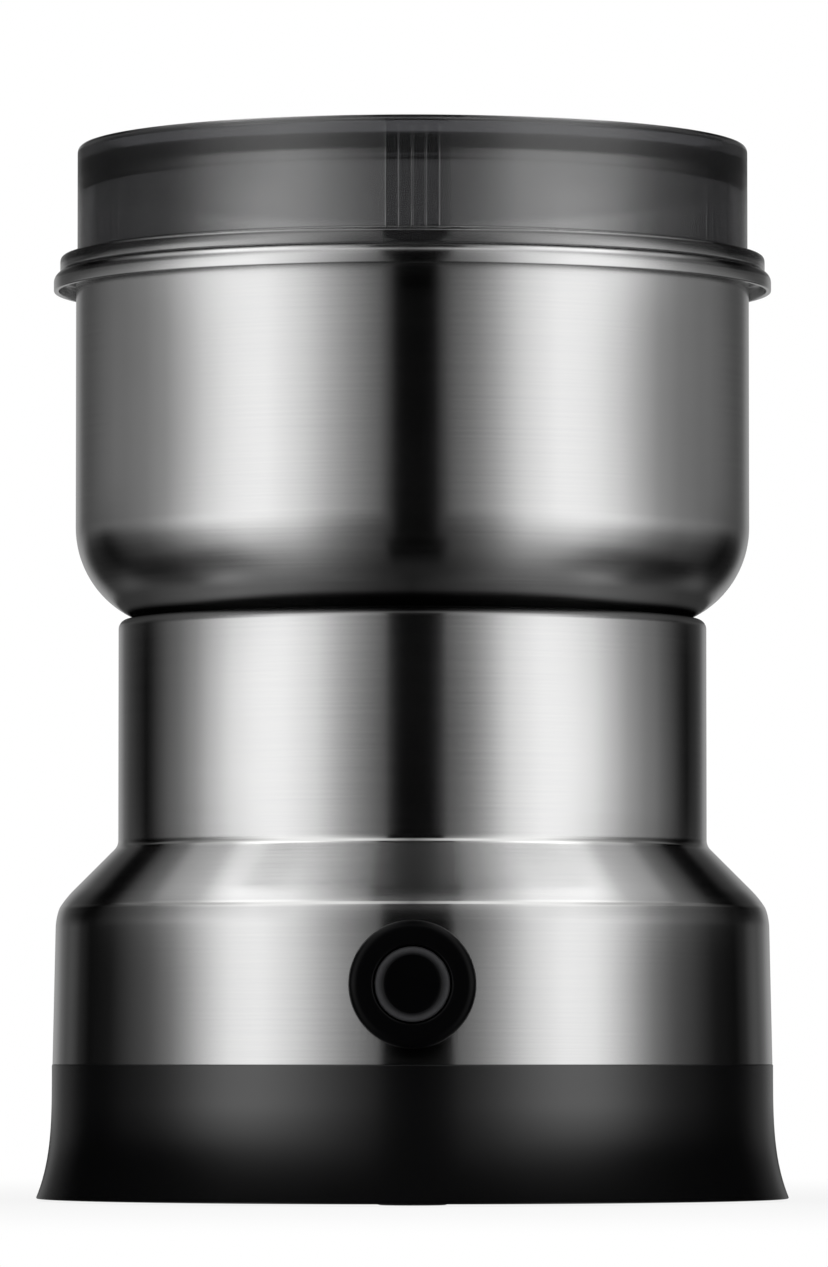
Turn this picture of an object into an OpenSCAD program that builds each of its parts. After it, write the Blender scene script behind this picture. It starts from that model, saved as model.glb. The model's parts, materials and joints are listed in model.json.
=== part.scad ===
// Electric coffee grinder: a steel bowl with a clear lid over a steel casing that holds a
// universal motor, a front push button and a flared black base.
// The axis of the motor is Z, the button faces -Y and Z = 0 is the table.

/* [Base] */
// Radius of the flared bottom lip
base_r = 59; // [58:0.5:64]
// Height of the base moulding
base_h = 21; // [20:0.5:26]
// Wall thickness of the base moulding
base_wall = 3; // [2.4:0.1:3.4]
// Thickness of the base floor
floor_t = 2.5; // [2:0.1:3.2]
// Height of the floor above the bottom lip
floor_rise = 2.2; // [1.5:0.1:2.6]
// How fast the flare dies out towards the top
flare_power = 3.5; // [2:0.1:5]
// Height of the spigot that centres the casing
spigot_h = 2; // [1:0.1:2.1]
// Number of ventilation slots in the floor
vent_count = 16; // [8:2:18]
// Width of a ventilation slot
vent_w = 3; // [2:0.1:3.4]
// Length of a ventilation slot
vent_l = 16; // [8:0.5:18]
// How far the rubber feet stand below the lip
foot_proud = 0.3; // [0.2:0.1:1.5]
// Radius of a rubber foot
foot_r = 5.5; // [4:0.1:6]
// Distance of a foot's centre from the edge of the bottom lip
foot_inset = 13; // [12:0.5:15]

/* [Casing] */
// Height of the casing above the base moulding
casing_h = 69.7; // [68:0.1:78]
// Height of the straight skirt
skirt_h = 21; // [20.5:0.5:26]
// How much the skirt narrows towards its top
skirt_taper = 0.45; // [0.2:0.05:1]
// Bend radius at the top of the skirt
skirt_bend_r = 10; // [6:0.5:12]
// Bend radius of the brow between crease and cone
brow_r = 16; // [10:0.5:18]
// Radius of the neck
neck_r = 46.15; // [45.8:0.05:47]
// Radius of the neck's rounded top edge
neck_edge_r = 1.5; // [1.2:0.1:1.6]
// Thickness of the steel sheet
sheet_t = 0.8; // [0.5:0.05:0.9]

/* [Bowl] */
// Outer radius of the bowl
bowl_r = 52.9; // [48:0.1:58]
// Height of the bowl from floor to rim
bowl_h = 55.7; // [50:0.5:70]
// Radius of the bowl's bottom corner
bowl_corner_r = 15.6; // [15:0.1:17]
// How far the turned-down rim stands out past the bowl's wall
lip_w = 3.5; // [3:0.1:5]
// Height of the turned-down rim
lip_h = 3.1; // [2.5:0.1:5]

/* [Lid] */
// How far the lid's wall stands inside the bowl's outer face
lid_inset = 0.2; // [0:0.1:0.7]
// Height of the lid above the rim
lid_h = 19.9; // [14:0.1:30]
// Thickness of the lid's wall
lid_wall = 2.2; // [1.6:0.1:2.8]
// How far the lid's flange stands inside the rim's edge
flange_inset = 1; // [0.6:0.1:1.6]
// Thickness of the lid's flange
lid_flange_t = 2.5; // [1.5:0.1:3.5]
// Depth of the lid's skirt inside the bowl
lid_skirt_h = 12; // [6:0.5:20]
// Depth of the sunk top panel
panel_drop = 3.1; // [1.5:0.1:5]
// Thickness of the top panel
panel_t = 2.4; // [1.6:0.1:3]
// Number of grip ribs in a group
rib_count = 5; // [3:1:7]
// Distance between two ribs
rib_pitch = 2; // [1.4:0.1:2.4]
// Radius of a rib
rib_r = 0.55; // [0.4:0.05:0.65]

/* [Button] */
// Height of the button above the base moulding
button_rise = 12.1; // [12:0.1:12.6]
// Radius of the button's ring
bezel_r = 9.9; // [9.2:0.1:10.1]
// How far the ring stands in front of the casing
bezel_proud = 2.2; // [1.8:0.1:2.5]
// Radius of the button
cap_r = 5.75; // [5.4:0.05:5.9]
// Travel of the button
button_travel = 3; // [2:0.1:3]
// Radius of the switch's barrel
barrel_r = 7.9; // [7.6:0.05:8.1]

/* [Blade] */
// Length of the blade from tip to tip
blade_span = 76; // [60:1:84]
// Width of a blade leaf
blade_w = 12; // [8:0.5:14]
// Thickness of the blade
blade_t = 1.2; // [0.8:0.1:2]
// Angle that the tips are bent to
blade_bend = 24; // [10:1:26]
// Height of the blade above the bowl's floor
blade_rise = 8; // [7.5:0.5:14]

/* [Motor] */
// Height of the lamination stack
stack_h = 22; // [16:0.5:22.5]
// Width of the stator
stator_w = 58; // [56:0.5:60]
// Depth of the stator
stator_d = 46; // [44:0.5:48]
// Radius of the armature
armature_r = 15; // [13.5:0.1:15.2]
// Radius of the commutator
commutator_r = 9; // [8:0.1:10]
// Radius of the shaft
shaft_r = 4; // [3.6:0.1:4.4]
// Radius of the shaft's thinner ends
shaft_end_r = 3; // [2.5:0.1:3.2]
// Radius of the cooling fan
fan_r = 24; // [18:0.5:28]
// Number of fan vanes
fan_vanes = 9; // [6:1:12]
// Number of armature slots
slot_count = 12; // [8:1:12]

/* [Cord inlet] */
// Radius of the bore for the cord
inlet_bore_r = 3.2; // [2.5:0.1:3.6]
// Height of the inlet above the base's bottom lip
inlet_rise = 11.2; // [10.5:0.1:12]

/* [Hidden] */
$fn = 96;

// Clearances, on the radius where the piece is round
run_fit = 0.03;
press_fit = 0.02;
play = 0.2;
loose = 0.3;
lid_play = 0.5;
air_gap = 0.5;
bowl_gap = 0.4;

// How far a cut runs past the face that it opens
past = 1;

// Colours
steel = "#b9babc";
black_plastic = "#17181a";
smoke = [0.22, 0.22, 0.24, 0.6];
rubber = "#202022";
zinc = "#9c9ea0";
copper = "#a8623a";
brass = "#b8964e";
iron = "#5c5e62";

// The casing is as wide as the bowl's rim
lip_r = bowl_r + lip_w;
skirt_r = lip_r;

// Base heights and radii
ledge_proud = 0.1;
lip_round = 0.4;
lip_wall = 2.4;
flare_steps = 9;
base_top_r = skirt_r + ledge_proud;
base_in_r = base_top_r - base_wall;
base_z0 = foot_proud;
base_top_z = base_z0 + base_h;
floor_z0 = base_z0 + floor_rise;
floor_z1 = floor_z0 + floor_t;
vent_r0 = 12;

// Feet and base screws
foot_count = 4;
foot_pcr = base_r - foot_inset;
foot_stem_r = 2;
foot_stem_over = 0.8;
screw_count = 4;
screw_pcr = 40;
screw_turn = 45;
screw_r = 2;
screw_head_r = 3.4;
screw_head_h = 2.8;
screw_bite = 16;
head_room_h = 5;
post_foot_h = 8.5;
post_foot_r = 6;
pillar_r = 4;
post_z = floor_z1 + post_foot_h;
screw_seat_z = floor_z0 + head_room_h;

// Casing outline: skirt, bend to the first crease, brow, cone, neck, turned-in top edge
crease_turn = 20;
brow_turn = 32;
cone_turn = 45;
edge_flat = 0.65;
skirt_top_r = skirt_r - skirt_taper;
skirt_top_z = base_top_z + skirt_h;
crease_r = skirt_top_r - skirt_bend_r * (1 - cos(crease_turn));
crease_z = skirt_top_z + skirt_bend_r * sin(crease_turn);
cone_r = crease_r - brow_r * (cos(brow_turn) - cos(cone_turn));
cone_z = crease_z + brow_r * (sin(cone_turn) - sin(brow_turn));
neck_foot_z = cone_z + (cone_r - neck_r) / tan(cone_turn);
neck_top_z = base_top_z + casing_h;
neck_in_r = neck_r - sheet_t;

// Bowl: it sinks into the neck until its corner clears the neck's edge by bowl_gap.
// The edge reaches in at least as far as the corner is wide at bowl_seat above its floor.
bowl_seat = 1.6;
bowl_c_r = bowl_r - bowl_corner_r;
seat_r = bowl_c_r + sqrt(pow(bowl_corner_r, 2) - pow(bowl_corner_r - bowl_seat, 2));
edge_in_r = min(neck_r - neck_edge_r - edge_flat, seat_r);
bowl_sink = bowl_corner_r - sqrt(pow(bowl_corner_r, 2) - pow(edge_in_r - bowl_c_r, 2));
bowl_z0 = neck_top_z + bowl_gap - bowl_sink;
bowl_floor_z = bowl_z0 + sheet_t;
bowl_c_z = bowl_z0 + bowl_corner_r;
rim_z = bowl_z0 + bowl_h;
rim_bend = 1.2;
lip_crown = 1.6;
bowl_hole_r = 9;
bowl_in_r = bowl_r - sheet_t;

// Bowl studs
stud_count = 3;
stud_pcr = 32;
stud_r = 2;
nut_r = 4;
nut_h = 3.2;

// Lid
lid_top_z = rim_z + lid_h;
lid_r = bowl_r - lid_inset;
lid_flange_r = lip_r - flange_inset;
lid_in_r = lid_r - lid_wall;
lid_skirt_r = bowl_in_r - lid_play;
lid_edge_w = 3.2;
lid_round = 1.2;
flange_round = 0.9;
panel_z1 = lid_top_z - panel_drop;
panel_z0 = panel_z1 - panel_t;
rib_turns = [-90, -26, 26, 90, 154, 206];
rib_sink = 0.15;

// Plate and motor, hung from the plate downwards
plate_t = 5;
plate_r = neck_in_r - play;
plate_rim_w = 1.75;
plate_z0 = bowl_z0 - plate_t;
damper_h = 4;
damper_r = 4.5;
bracket_t = 3;
bar_w = 20;
bar_over = 5.5;
boss_r = 9;
bush_r = 6;
upper_z1 = plate_z0 - damper_h;
upper_z0 = upper_z1 - bracket_t;
boss_below = 4;
boss_above = 1;
upper_boss_z0 = upper_z0 - boss_below;
upper_boss_z1 = upper_z1 + boss_above;
upper_post_h = 10.4;
stator_z1 = upper_z0 - upper_post_h;
stator_z0 = stator_z1 - stack_h;
lower_post_h = 17;
lower_z1 = stator_z0 - lower_post_h;
lower_z0 = lower_z1 - bracket_t;
lower_boss_h = 9;
lower_boss_z0 = lower_z1 - lower_boss_h;
post_r = 4;
yoke_w = 6;
yoke_d = 5;
bolt_x = stator_w / 2 - yoke_w / 2;
bolt_r = 1.7;
bolt_head_r = 3.2;
bolt_head_h = 2.4;
hang_gap = 9.5;
hang_x = bolt_x + hang_gap;
hang_bite = 4;

// Stator and coils
bore_r = armature_r + air_gap;
shoe_t = 2;
pole_w = 18;
pole_gap = 10;
window_x = stator_w / 2 - yoke_w;
window_y = stator_d / 2 - yoke_d;
stator_corner_r = 33;
coil_gap = 0.4;
coil_over = 6;
coil_inset = 0.7;
coil_side_gap = 1.4;
coil_x0 = bore_r + coil_inset;
coil_x1 = bolt_x - post_r - coil_gap;
coil_y = window_y - coil_side_gap;

// Rotor
winding_over = 4.5;
winding_inset = 1;
winding_bore_gap = 2.5;
winding_r = armature_r - winding_inset;
slot_r = 1.9;
slot_depth = 3.4;
slot_pcr = armature_r - slot_depth;
slot_mouth = 1.6;
commutator_h = 10.5;
commutator_gap = 1;
commutator_z1 = stator_z0 - winding_over - commutator_gap;
commutator_z0 = commutator_z1 - commutator_h;
segment_gap = 0.5;
segment_depth = 0.8;
riser_h = 1.5;
riser_over = 1.2;
washer_t = 0.6;
washer_gap = 0.2;
washer_r = 6;
lower_washer_z = lower_z1 + washer_gap;
upper_washer_z = upper_boss_z0 - washer_gap - washer_t;
fan_gap = 1.2;
fan_h = 9;
fan_disc_t = 1.4;
fan_hub_r = 6;
vane_t = 1.4;
fan_z1 = lower_boss_z0 - fan_gap;
fan_z0 = fan_z1 - fan_h;
clip_t = 0.8;
clip_r = 5.2;
shaft_z0 = fan_z0 - 2 * clip_t;

// Brush gear
brush_z = (commutator_z0 + commutator_z1 - riser_h) / 2;
brush_w = 7;
brush_h = 5;
brush_gap = 0.3;
holder_wall = 1;
holder_x0 = commutator_r + riser_over + brush_gap;
holder_gap = 0.6;
holder_x1 = bolt_x - post_r - holder_gap;
brush_spring_l = 4;
brush_spring_r = 2;
brush_x1 = holder_x1 - holder_wall - brush_spring_l - play;

// Seal, bush, blade and nut above the bowl's floor
seal_r = 10;
seal_ledge_r = 7;
seal_ledge_t = 0.8;
seal_lip_r = 11;
seal_lip_t = 1.8;
seal_fit = 0.05;
seal_top_z = bowl_floor_z + seal_lip_t;
bush_gap = 0.4;
bush_foot_r = 7.5;
bush_top_r = 8.5;
blade_z = bowl_floor_z + blade_rise;
hub_margin = 3;
blade_hub_r = blade_w * sqrt(0.5) + hub_margin;
blade_tip_l = 12;
blade_edge_w = 2.5;
blade_grind = 18;
blade_step = 0.3;
blade_washer_r = 6.5;
blade_washer_t = 0.8;
blade_nut_r = 5.8;
blade_nut_h = 4;
dome_r = 4.6;
dome_h = 2;
nut_z = blade_z + blade_t + blade_washer_t;
shaft_z1 = nut_z + blade_nut_h - play;

// Button, measured inwards from the front of its ring
button_z = base_top_z + button_rise;
skin_r = skirt_r - skirt_taper * button_rise / skirt_h;
bezel_front = skin_r + bezel_proud;
bezel_round = 1.4;
bezel_seat = 0.05;
cap_sink = 0.25;
cap_round = 0.4;
cap_wall = 2.2;
cap_side = 1.15;
cap_bead = 0.75;
cap_dish = 0.5;
stem_r = 2.3;
shoulder_t0 = 9;
shoulder_t1 = 11;
bridge_r = 4.8;
bridge_h = 1;
bridge_t0 = shoulder_t1 + loose;
contact_t = bridge_t0 + bridge_h + button_travel + loose;
contact_r = 1.2;
contact_x = 3.2;
back_h = 3;
contact_l = 3.4;
back_t0 = contact_t + contact_l;
back_t1 = back_t0 + back_h;
back_wall = 1.5;
tab_l = 7;
tab_w = 4.8;
tab_t = 0.8;
saddle_r = 9.8;
saddle_t = 2.8;
saddle_t1 = bezel_proud + sheet_t + saddle_t;
barrel_nut_r = 10.5;
barrel_nut_h = 3;

// Cord inlet at the back of the base
inlet_z = base_z0 + inlet_rise;
inlet_hole_r = 4.5;
inlet_flange_r = 6.2;
inlet_flange_t = 2;
inlet_set = 0.9;
inlet_face = base_top_r - inlet_set;
inlet_pad = 4.6;
inlet_pad_w = 16;
inlet_pad_h = 7;

// Points along an arc about (x, y), from angle a0 to a1 in n steps
function arc(x, y, r, a0, a1, n) = [
    for (i = [0:n]) let (a = a0 + (a1 - a0) * i / n) [x + r * cos(a), y + r * sin(a)]
];

// The same arc without its first point
function arc_on(x, y, r, a0, a1, n) = [for (i = [1:n]) arc(x, y, r, a0, a1, n)[i]];

function shifted(points, dx) = [for (p = points) [p[0] + dx, p[1]]];

function reversed(points) = [for (i = [len(points) - 1:-1:0]) points[i]];

// Outer outline of the casing below the neck's top edge
casing_side = concat(
    [[skirt_r, base_top_z]],
    arc(skirt_top_r - skirt_bend_r, skirt_top_z, skirt_bend_r, 0, crease_turn, 4),
    arc_on(crease_r - brow_r * cos(brow_turn), crease_z - brow_r * sin(brow_turn),
           brow_r, brow_turn, cone_turn, 4),
    [[neck_r, neck_foot_z]]
);

module ring_of(count, radius, turn = 0) {
    for (i = [0:count - 1]) rotate([0, 0, turn + 360 * i / count]) translate([radius, 0, 0]) children();
}

module tube(outer, inner, z0, z1) {
    translate([0, 0, z0]) difference() {
        cylinder(r = outer, h = z1 - z0);
        translate([0, 0, -past]) cylinder(r = inner, h = z1 - z0 + 2 * past);
    }
}

module rod(radius, z0, z1) {
    translate([0, 0, z0]) cylinder(r = radius, h = z1 - z0);
}

module hex_nut(radius, inner, z0, z1) {
    translate([0, 0, z0]) difference() {
        cylinder(r = radius, h = z1 - z0, $fn = 6);
        translate([0, 0, -past]) cylinder(r = inner, h = z1 - z0 + 2 * past);
    }
}

module block(x0, x1, y0, y1, z0, z1) {
    translate([x0, y0, z0]) cube([x1 - x0, y1 - y0, z1 - z0]);
}

// Solid bounded by the casing's side, grown or shrunk by extra
module casing_solid(extra) {
    rotate_extrude() polygon(concat([[0, base_top_z]], shifted(casing_side, extra), [[0, neck_foot_z]]));
}

// Puts a shape made along +Z on the button's axis, pointing inwards
module on_button() {
    translate([0, -bezel_front, button_z]) rotate([-90, 0, 0]) children();
}

// Puts a shape made along +Z on the inlet's axis, pointing backwards
module on_inlet() {
    translate([0, inlet_face, inlet_z]) rotate([-90, 0, 0]) children();
}

module lid() {
    skirt_in = lid_skirt_r - lid_wall;
    color(smoke) {
        rotate_extrude() polygon(concat(
            [[skirt_in, rim_z - lid_skirt_h], [lid_skirt_r, rim_z - lid_skirt_h], [lid_skirt_r, rim_z],
             [lid_flange_r, rim_z]],
            arc(lid_flange_r - flange_round, rim_z + lid_flange_t - flange_round, flange_round, 0, 90, 4),
            [[lid_r, rim_z + lid_flange_t]],
            arc(lid_r - lid_round, lid_top_z - lid_round, lid_round, 0, 90, 4),
            [[lid_r - lid_edge_w, lid_top_z], [lid_r - lid_edge_w - play, panel_z1], [0, panel_z1],
             [0, panel_z0], [lid_in_r - lid_wall, panel_z0], [lid_in_r, panel_z0 - lid_wall],
             [lid_in_r, rim_z + lid_flange_t], [skirt_in, rim_z]]
        ));
        for (turn = rib_turns) lid_ribs(turn);
    }
}

// One group of upright grip ribs, half sunk into the lid's wall
module lid_ribs(turn) {
    step = rib_pitch / lid_r * 180 / PI;
    for (i = [0:rib_count - 1])
        rotate([0, 0, turn + step * (i - (rib_count - 1) / 2)])
            translate([lid_r - rib_sink, 0, 0])
                rod(rib_r, rim_z + lid_flange_t / 2, lid_top_z - 1.5 * lid_round);
}

module grinding_bowl() {
    bend_c = bowl_in_r + rim_bend;
    color(steel) rotate_extrude() polygon(concat(
        [[bowl_hole_r, bowl_floor_z]],
        arc(bowl_c_r, bowl_c_z, bowl_corner_r - sheet_t, -90, 0, 10),
        arc(bend_c, rim_z - rim_bend, rim_bend, 180, 90, 4),
        arc(lip_r - lip_crown, rim_z - lip_crown, lip_crown, 90, 0, 5),
        [[lip_r, rim_z - lip_h], [lip_r - sheet_t, rim_z - lip_h]],
        arc(lip_r - lip_crown, rim_z - lip_crown, lip_crown - sheet_t, 0, 90, 5),
        arc(bend_c, rim_z - rim_bend, rim_bend - sheet_t, 90, 180, 4),
        arc(bowl_c_r, bowl_c_z, bowl_corner_r, 0, -90, 10),
        [[bowl_hole_r, bowl_z0]]
    ));
}

module bowl_studs() {
    color(zinc) ring_of(stud_count, stud_pcr, 90) rod(stud_r, plate_z0 - nut_h - loose, bowl_z0);
}

module bowl_nuts() {
    color(zinc) ring_of(stud_count, stud_pcr, 90)
        hex_nut(nut_r, stud_r + press_fit, plate_z0 - nut_h, plate_z0);
}

module shaft_seal() {
    color(rubber) difference() {
        union() {
            rod(seal_r - press_fit, plate_z0 + seal_ledge_t, bowl_z0);
            rod(bowl_hole_r - press_fit, bowl_z0, bowl_floor_z);
            rod(seal_lip_r, bowl_floor_z, seal_top_z);
        }
        rod(shaft_r + seal_fit, plate_z0, seal_top_z + past);
    }
}

module body_shell() {
    edge_c_r = neck_r - neck_edge_r;
    edge_c_z = neck_top_z - neck_edge_r;
    color(steel) difference() {
        rotate_extrude() polygon(concat(
            casing_side,
            arc(edge_c_r, edge_c_z, neck_edge_r, 0, 90, 5),
            [[edge_in_r, neck_top_z], [edge_in_r, neck_top_z - sheet_t]],
            arc(edge_c_r, edge_c_z, neck_edge_r - sheet_t, 90, 0, 5),
            reversed(shifted(casing_side, -sheet_t))
        ));
        on_button() cylinder(r = barrel_r + play, h = bezel_front);
    }
}

// Radius of the flared base at height z
function flare_r(z) = base_top_r + (base_r - base_top_r) * pow((base_top_z - z) / base_h, flare_power);

module base() {
    rim_in = base_r - lip_wall;
    flare_z0 = base_z0 + lip_round;
    color(black_plastic) difference() {
        union() {
            rotate_extrude() polygon(concat(
                [[0, floor_z0], [rim_in - loose, floor_z0], [rim_in, base_z0], [base_r - lip_round, base_z0]],
                [[base_r, base_z0 + lip_round / 2]],
                [for (i = [0:flare_steps]) let (z = flare_z0 + (base_top_z - flare_z0) * i / flare_steps)
                    [flare_r(z), z]],
                [[skirt_r - sheet_t - play, base_top_z], [skirt_r - sheet_t - play, base_top_z + spigot_h],
                 [base_in_r, base_top_z + spigot_h], [base_in_r, floor_z1], [0, floor_z1]]
            ));
            ring_of(screw_count, screw_pcr, screw_turn) rod(post_foot_r, floor_z0, post_z);
            block(-inlet_pad_w / 2, inlet_pad_w / 2, inlet_face - inlet_pad, inlet_face - loose,
                  floor_z0, inlet_z + inlet_pad_h);
        }
        ring_of(screw_count, screw_pcr, screw_turn) {
            rod(screw_r + play, base_z0, post_z + past);
            rod(screw_head_r + play, base_z0, screw_seat_z);
        }
        ring_of(foot_count, foot_pcr) rod(foot_stem_r + press_fit, base_z0, floor_z1 + past);
        ring_of(vent_count, vent_r0, 180 / vent_count)
            block(0, vent_l, -vent_w / 2, vent_w / 2, base_z0, floor_z1 + past);
        on_inlet() {
            translate([0, 0, -2 * inlet_pad]) cylinder(r = inlet_hole_r, h = 4 * inlet_pad);
            cylinder(r = inlet_flange_r + loose, h = 2 * inlet_pad);
        }
    }
}

module rubber_feet() {
    color(rubber) ring_of(foot_count, foot_pcr) {
        rod(foot_r, 0, floor_z0);
        rod(foot_stem_r, 0, floor_z1 + foot_stem_over);
    }
}

module base_screws() {
    color(zinc) ring_of(screw_count, screw_pcr, screw_turn) {
        rod(screw_head_r, screw_seat_z - screw_head_h, screw_seat_z);
        rod(screw_r, screw_seat_z - screw_head_h, post_z + screw_bite);
    }
}

module cord_grommet() {
    neck_l = inlet_pad;
    color(rubber) on_inlet() difference() {
        union() {
            cylinder(r = inlet_flange_r, h = inlet_flange_t);
            translate([0, 0, -neck_l]) cylinder(r = inlet_hole_r - press_fit, h = neck_l);
            translate([0, 0, -neck_l - inlet_flange_t]) cylinder(r = inlet_flange_r, h = inlet_flange_t);
        }
        translate([0, 0, -2 * neck_l]) cylinder(r = inlet_bore_r, h = 4 * neck_l);
    }
}

module motor_chassis() {
    rim_top = neck_top_z - sheet_t;
    color(black_plastic) difference() {
        union() {
            rotate_extrude() polygon([
                [seal_ledge_r, plate_z0], [plate_r, plate_z0], [plate_r, rim_top - neck_edge_r],
                [neck_r - neck_edge_r, rim_top], [plate_r - plate_rim_w, rim_top],
                [plate_r - plate_rim_w, bowl_z0], [seal_r, bowl_z0],
                [seal_r, plate_z0 + seal_ledge_t], [seal_ledge_r, plate_z0 + seal_ledge_t]
            ]);
            ring_of(screw_count, screw_pcr, screw_turn) rod(pillar_r, post_z, plate_z0 + seal_ledge_t);
        }
        ring_of(screw_count, screw_pcr, screw_turn)
            rod(screw_r + press_fit, post_z - past, post_z + screw_bite + past);
        ring_of(stud_count, stud_pcr, 90) rod(stud_r + play, plate_z0 - past, bowl_z0 + past);
        ring_of(2, hang_x) rod(screw_r + press_fit, plate_z0 - past, plate_z0 + hang_bite);
    }
}

module motor_dampers() {
    color(rubber) ring_of(2, hang_x) tube(damper_r, screw_r + play, upper_z1, plate_z0);
}

module motor_screws() {
    color(zinc) ring_of(2, hang_x) {
        rod(screw_head_r, upper_z0 - screw_head_h, upper_z0);
        rod(screw_r, upper_z0 - screw_head_h, plate_z0 + hang_bite - play);
    }
}

// Bar with a boss for the bush and two posts that meet the lamination stack
module bracket(half_l, z0, z1, boss_z0, boss_z1, post_z0, post_z1) {
    difference() {
        union() {
            block(-half_l, half_l, -bar_w / 2, bar_w / 2, z0, z1);
            rod(boss_r, boss_z0, boss_z1);
            ring_of(2, bolt_x) rod(post_r, post_z0, post_z1);
        }
        rod(bush_r, boss_z0 - past, boss_z1 + past);
        ring_of(2, bolt_x) rod(bolt_r + play, post_z0 - past, post_z1 + past);
    }
}

module upper_bracket() {
    color(zinc) difference() {
        bracket(hang_x + bar_over, upper_z0, upper_z1, upper_boss_z0, upper_boss_z1, stator_z1, upper_z1);
        ring_of(2, hang_x) rod(screw_r + play, upper_z0 - past, upper_z1 + past);
    }
}

module lower_bracket() {
    color(zinc) bracket(bolt_x + bar_over, lower_z0, lower_z1, lower_boss_z0, lower_z1, lower_z0, stator_z0);
}

module upper_bearing() {
    color(brass) tube(bush_r - press_fit, shaft_r + run_fit, upper_boss_z0, upper_boss_z1);
}

module lower_bearing() {
    color(brass) tube(bush_r - press_fit, shaft_end_r + run_fit, lower_boss_z0, lower_z1);
}

module motor_bolts() {
    color(zinc) ring_of(2, bolt_x) {
        rod(bolt_head_r, lower_z0 - bolt_head_h, lower_z0);
        rod(bolt_r, lower_z0 - bolt_head_h, upper_z1 + bolt_head_h + play);
    }
}

module bolt_nuts() {
    color(zinc) ring_of(2, bolt_x) hex_nut(bolt_head_r, bolt_r + press_fit, upper_z1, upper_z1 + bolt_head_h);
}

module stator_core() {
    color(iron) translate([0, 0, stator_z0]) linear_extrude(stack_h) difference() {
        intersection() {
            square([stator_w, stator_d], center = true);
            circle(r = stator_corner_r);
        }
        circle(r = bore_r);
        difference() {
            square([2 * window_x, 2 * window_y], center = true);
            circle(r = bore_r + shoe_t);
            square([stator_w, pole_w], center = true);
        }
        square([pole_gap, 2 * window_y], center = true);
        ring_of(2, bolt_x) circle(r = bolt_r + play);
    }
}

// Coil wound round one pole: a squared ring with its hole along X
module field_coil() {
    hole_y = pole_w / 2 + coil_gap;
    difference() {
        block(coil_x0, coil_x1, -coil_y, coil_y, stator_z0 - coil_over, stator_z1 + coil_over);
        block(0, stator_w, -hole_y, hole_y, stator_z0 - coil_gap, stator_z1 + coil_gap);
    }
}

module field_coil_right() {
    color(copper) field_coil();
}

module field_coil_left() {
    color(copper) rotate([0, 0, 180]) field_coil();
}

module brush_insulators() {
    color(black_plastic) ring_of(2, holder_x0)
        block(holder_wall, holder_x1 - holder_x0 - holder_wall, -brush_w / 2, brush_w / 2,
              lower_z1, brush_z - brush_h / 2 - play - holder_wall);
}

module brush_holders() {
    inner_w = brush_w / 2 + play;
    inner_h = brush_h / 2 + play;
    color(brass) for (turn = [0, 180]) rotate([0, 0, turn]) difference() {
        block(holder_x0, holder_x1, -inner_w - holder_wall, inner_w + holder_wall,
              brush_z - inner_h - holder_wall, brush_z + inner_h + holder_wall);
        block(0, holder_x1 - holder_wall, -inner_w, inner_w, brush_z - inner_h, brush_z + inner_h);
    }
}

module carbon_brushes() {
    color(iron) for (turn = [0, 180]) rotate([0, 0, turn])
        block(commutator_r + brush_gap, brush_x1, -brush_w / 2, brush_w / 2,
              brush_z - brush_h / 2, brush_z + brush_h / 2);
}

module brush_springs() {
    color(steel) for (turn = [0, 180]) rotate([0, 0, turn])
        translate([brush_x1, 0, brush_z]) rotate([0, 90, 0])
            tube(brush_spring_r, brush_spring_r / 2, 0, brush_spring_l);
}

module armature_shaft() {
    color(zinc) {
        rod(shaft_end_r, shaft_z0, lower_washer_z + washer_t);
        rod(shaft_r, lower_washer_z + washer_t, blade_z);
        rod(shaft_end_r, blade_z, shaft_z1);
    }
}

module armature_core() {
    color(iron) translate([0, 0, stator_z0]) linear_extrude(stack_h) difference() {
        circle(r = armature_r);
        circle(r = shaft_r + press_fit);
        ring_of(slot_count, slot_pcr) {
            circle(r = slot_r);
            translate([0, -slot_mouth / 2]) square([armature_r, slot_mouth]);
        }
    }
}

module armature_winding() {
    ring_in = shaft_r + winding_bore_gap;
    wire_r = slot_r - loose;
    color(copper) {
        for (end = [stator_z0 - winding_over, stator_z1 + play])
            tube(winding_r, ring_in, end, end + winding_over - play);
        ring_of(slot_count, slot_pcr) rod(wire_r, stator_z0 - winding_over / 2, stator_z1 + winding_over / 2);
    }
}

module commutator() {
    color(copper) difference() {
        union() {
            rod(commutator_r, commutator_z0, commutator_z1);
            rod(commutator_r + riser_over, commutator_z1 - riser_h, commutator_z1);
        }
        rod(shaft_r + press_fit, commutator_z0 - past, commutator_z1 + past);
        ring_of(slot_count, commutator_r - segment_depth)
            block(0, commutator_r, -segment_gap / 2, segment_gap / 2,
                  commutator_z0 - past, commutator_z1 - riser_h);
    }
}

module thrust_washers() {
    color(brass) {
        tube(washer_r, shaft_end_r + press_fit, lower_washer_z, lower_washer_z + washer_t);
        tube(washer_r, shaft_r + press_fit, upper_washer_z, upper_washer_z + washer_t);
    }
}

module cooling_fan() {
    disc_z = fan_z1 - fan_disc_t;
    color(black_plastic) difference() {
        union() {
            rod(fan_r, disc_z, fan_z1);
            translate([0, 0, fan_z0]) linear_extrude(disc_z - fan_z0) {
                circle(r = fan_hub_r);
                ring_of(fan_vanes, fan_hub_r - vane_t)
                    translate([0, -vane_t / 2]) square([fan_r - fan_hub_r, vane_t]);
            }
        }
        rod(shaft_end_r + press_fit, fan_z0 - past, fan_z1 + past);
    }
}

module fan_clip() {
    color(steel) tube(clip_r, shaft_end_r + press_fit, fan_z0 - clip_t, fan_z0);
}

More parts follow.
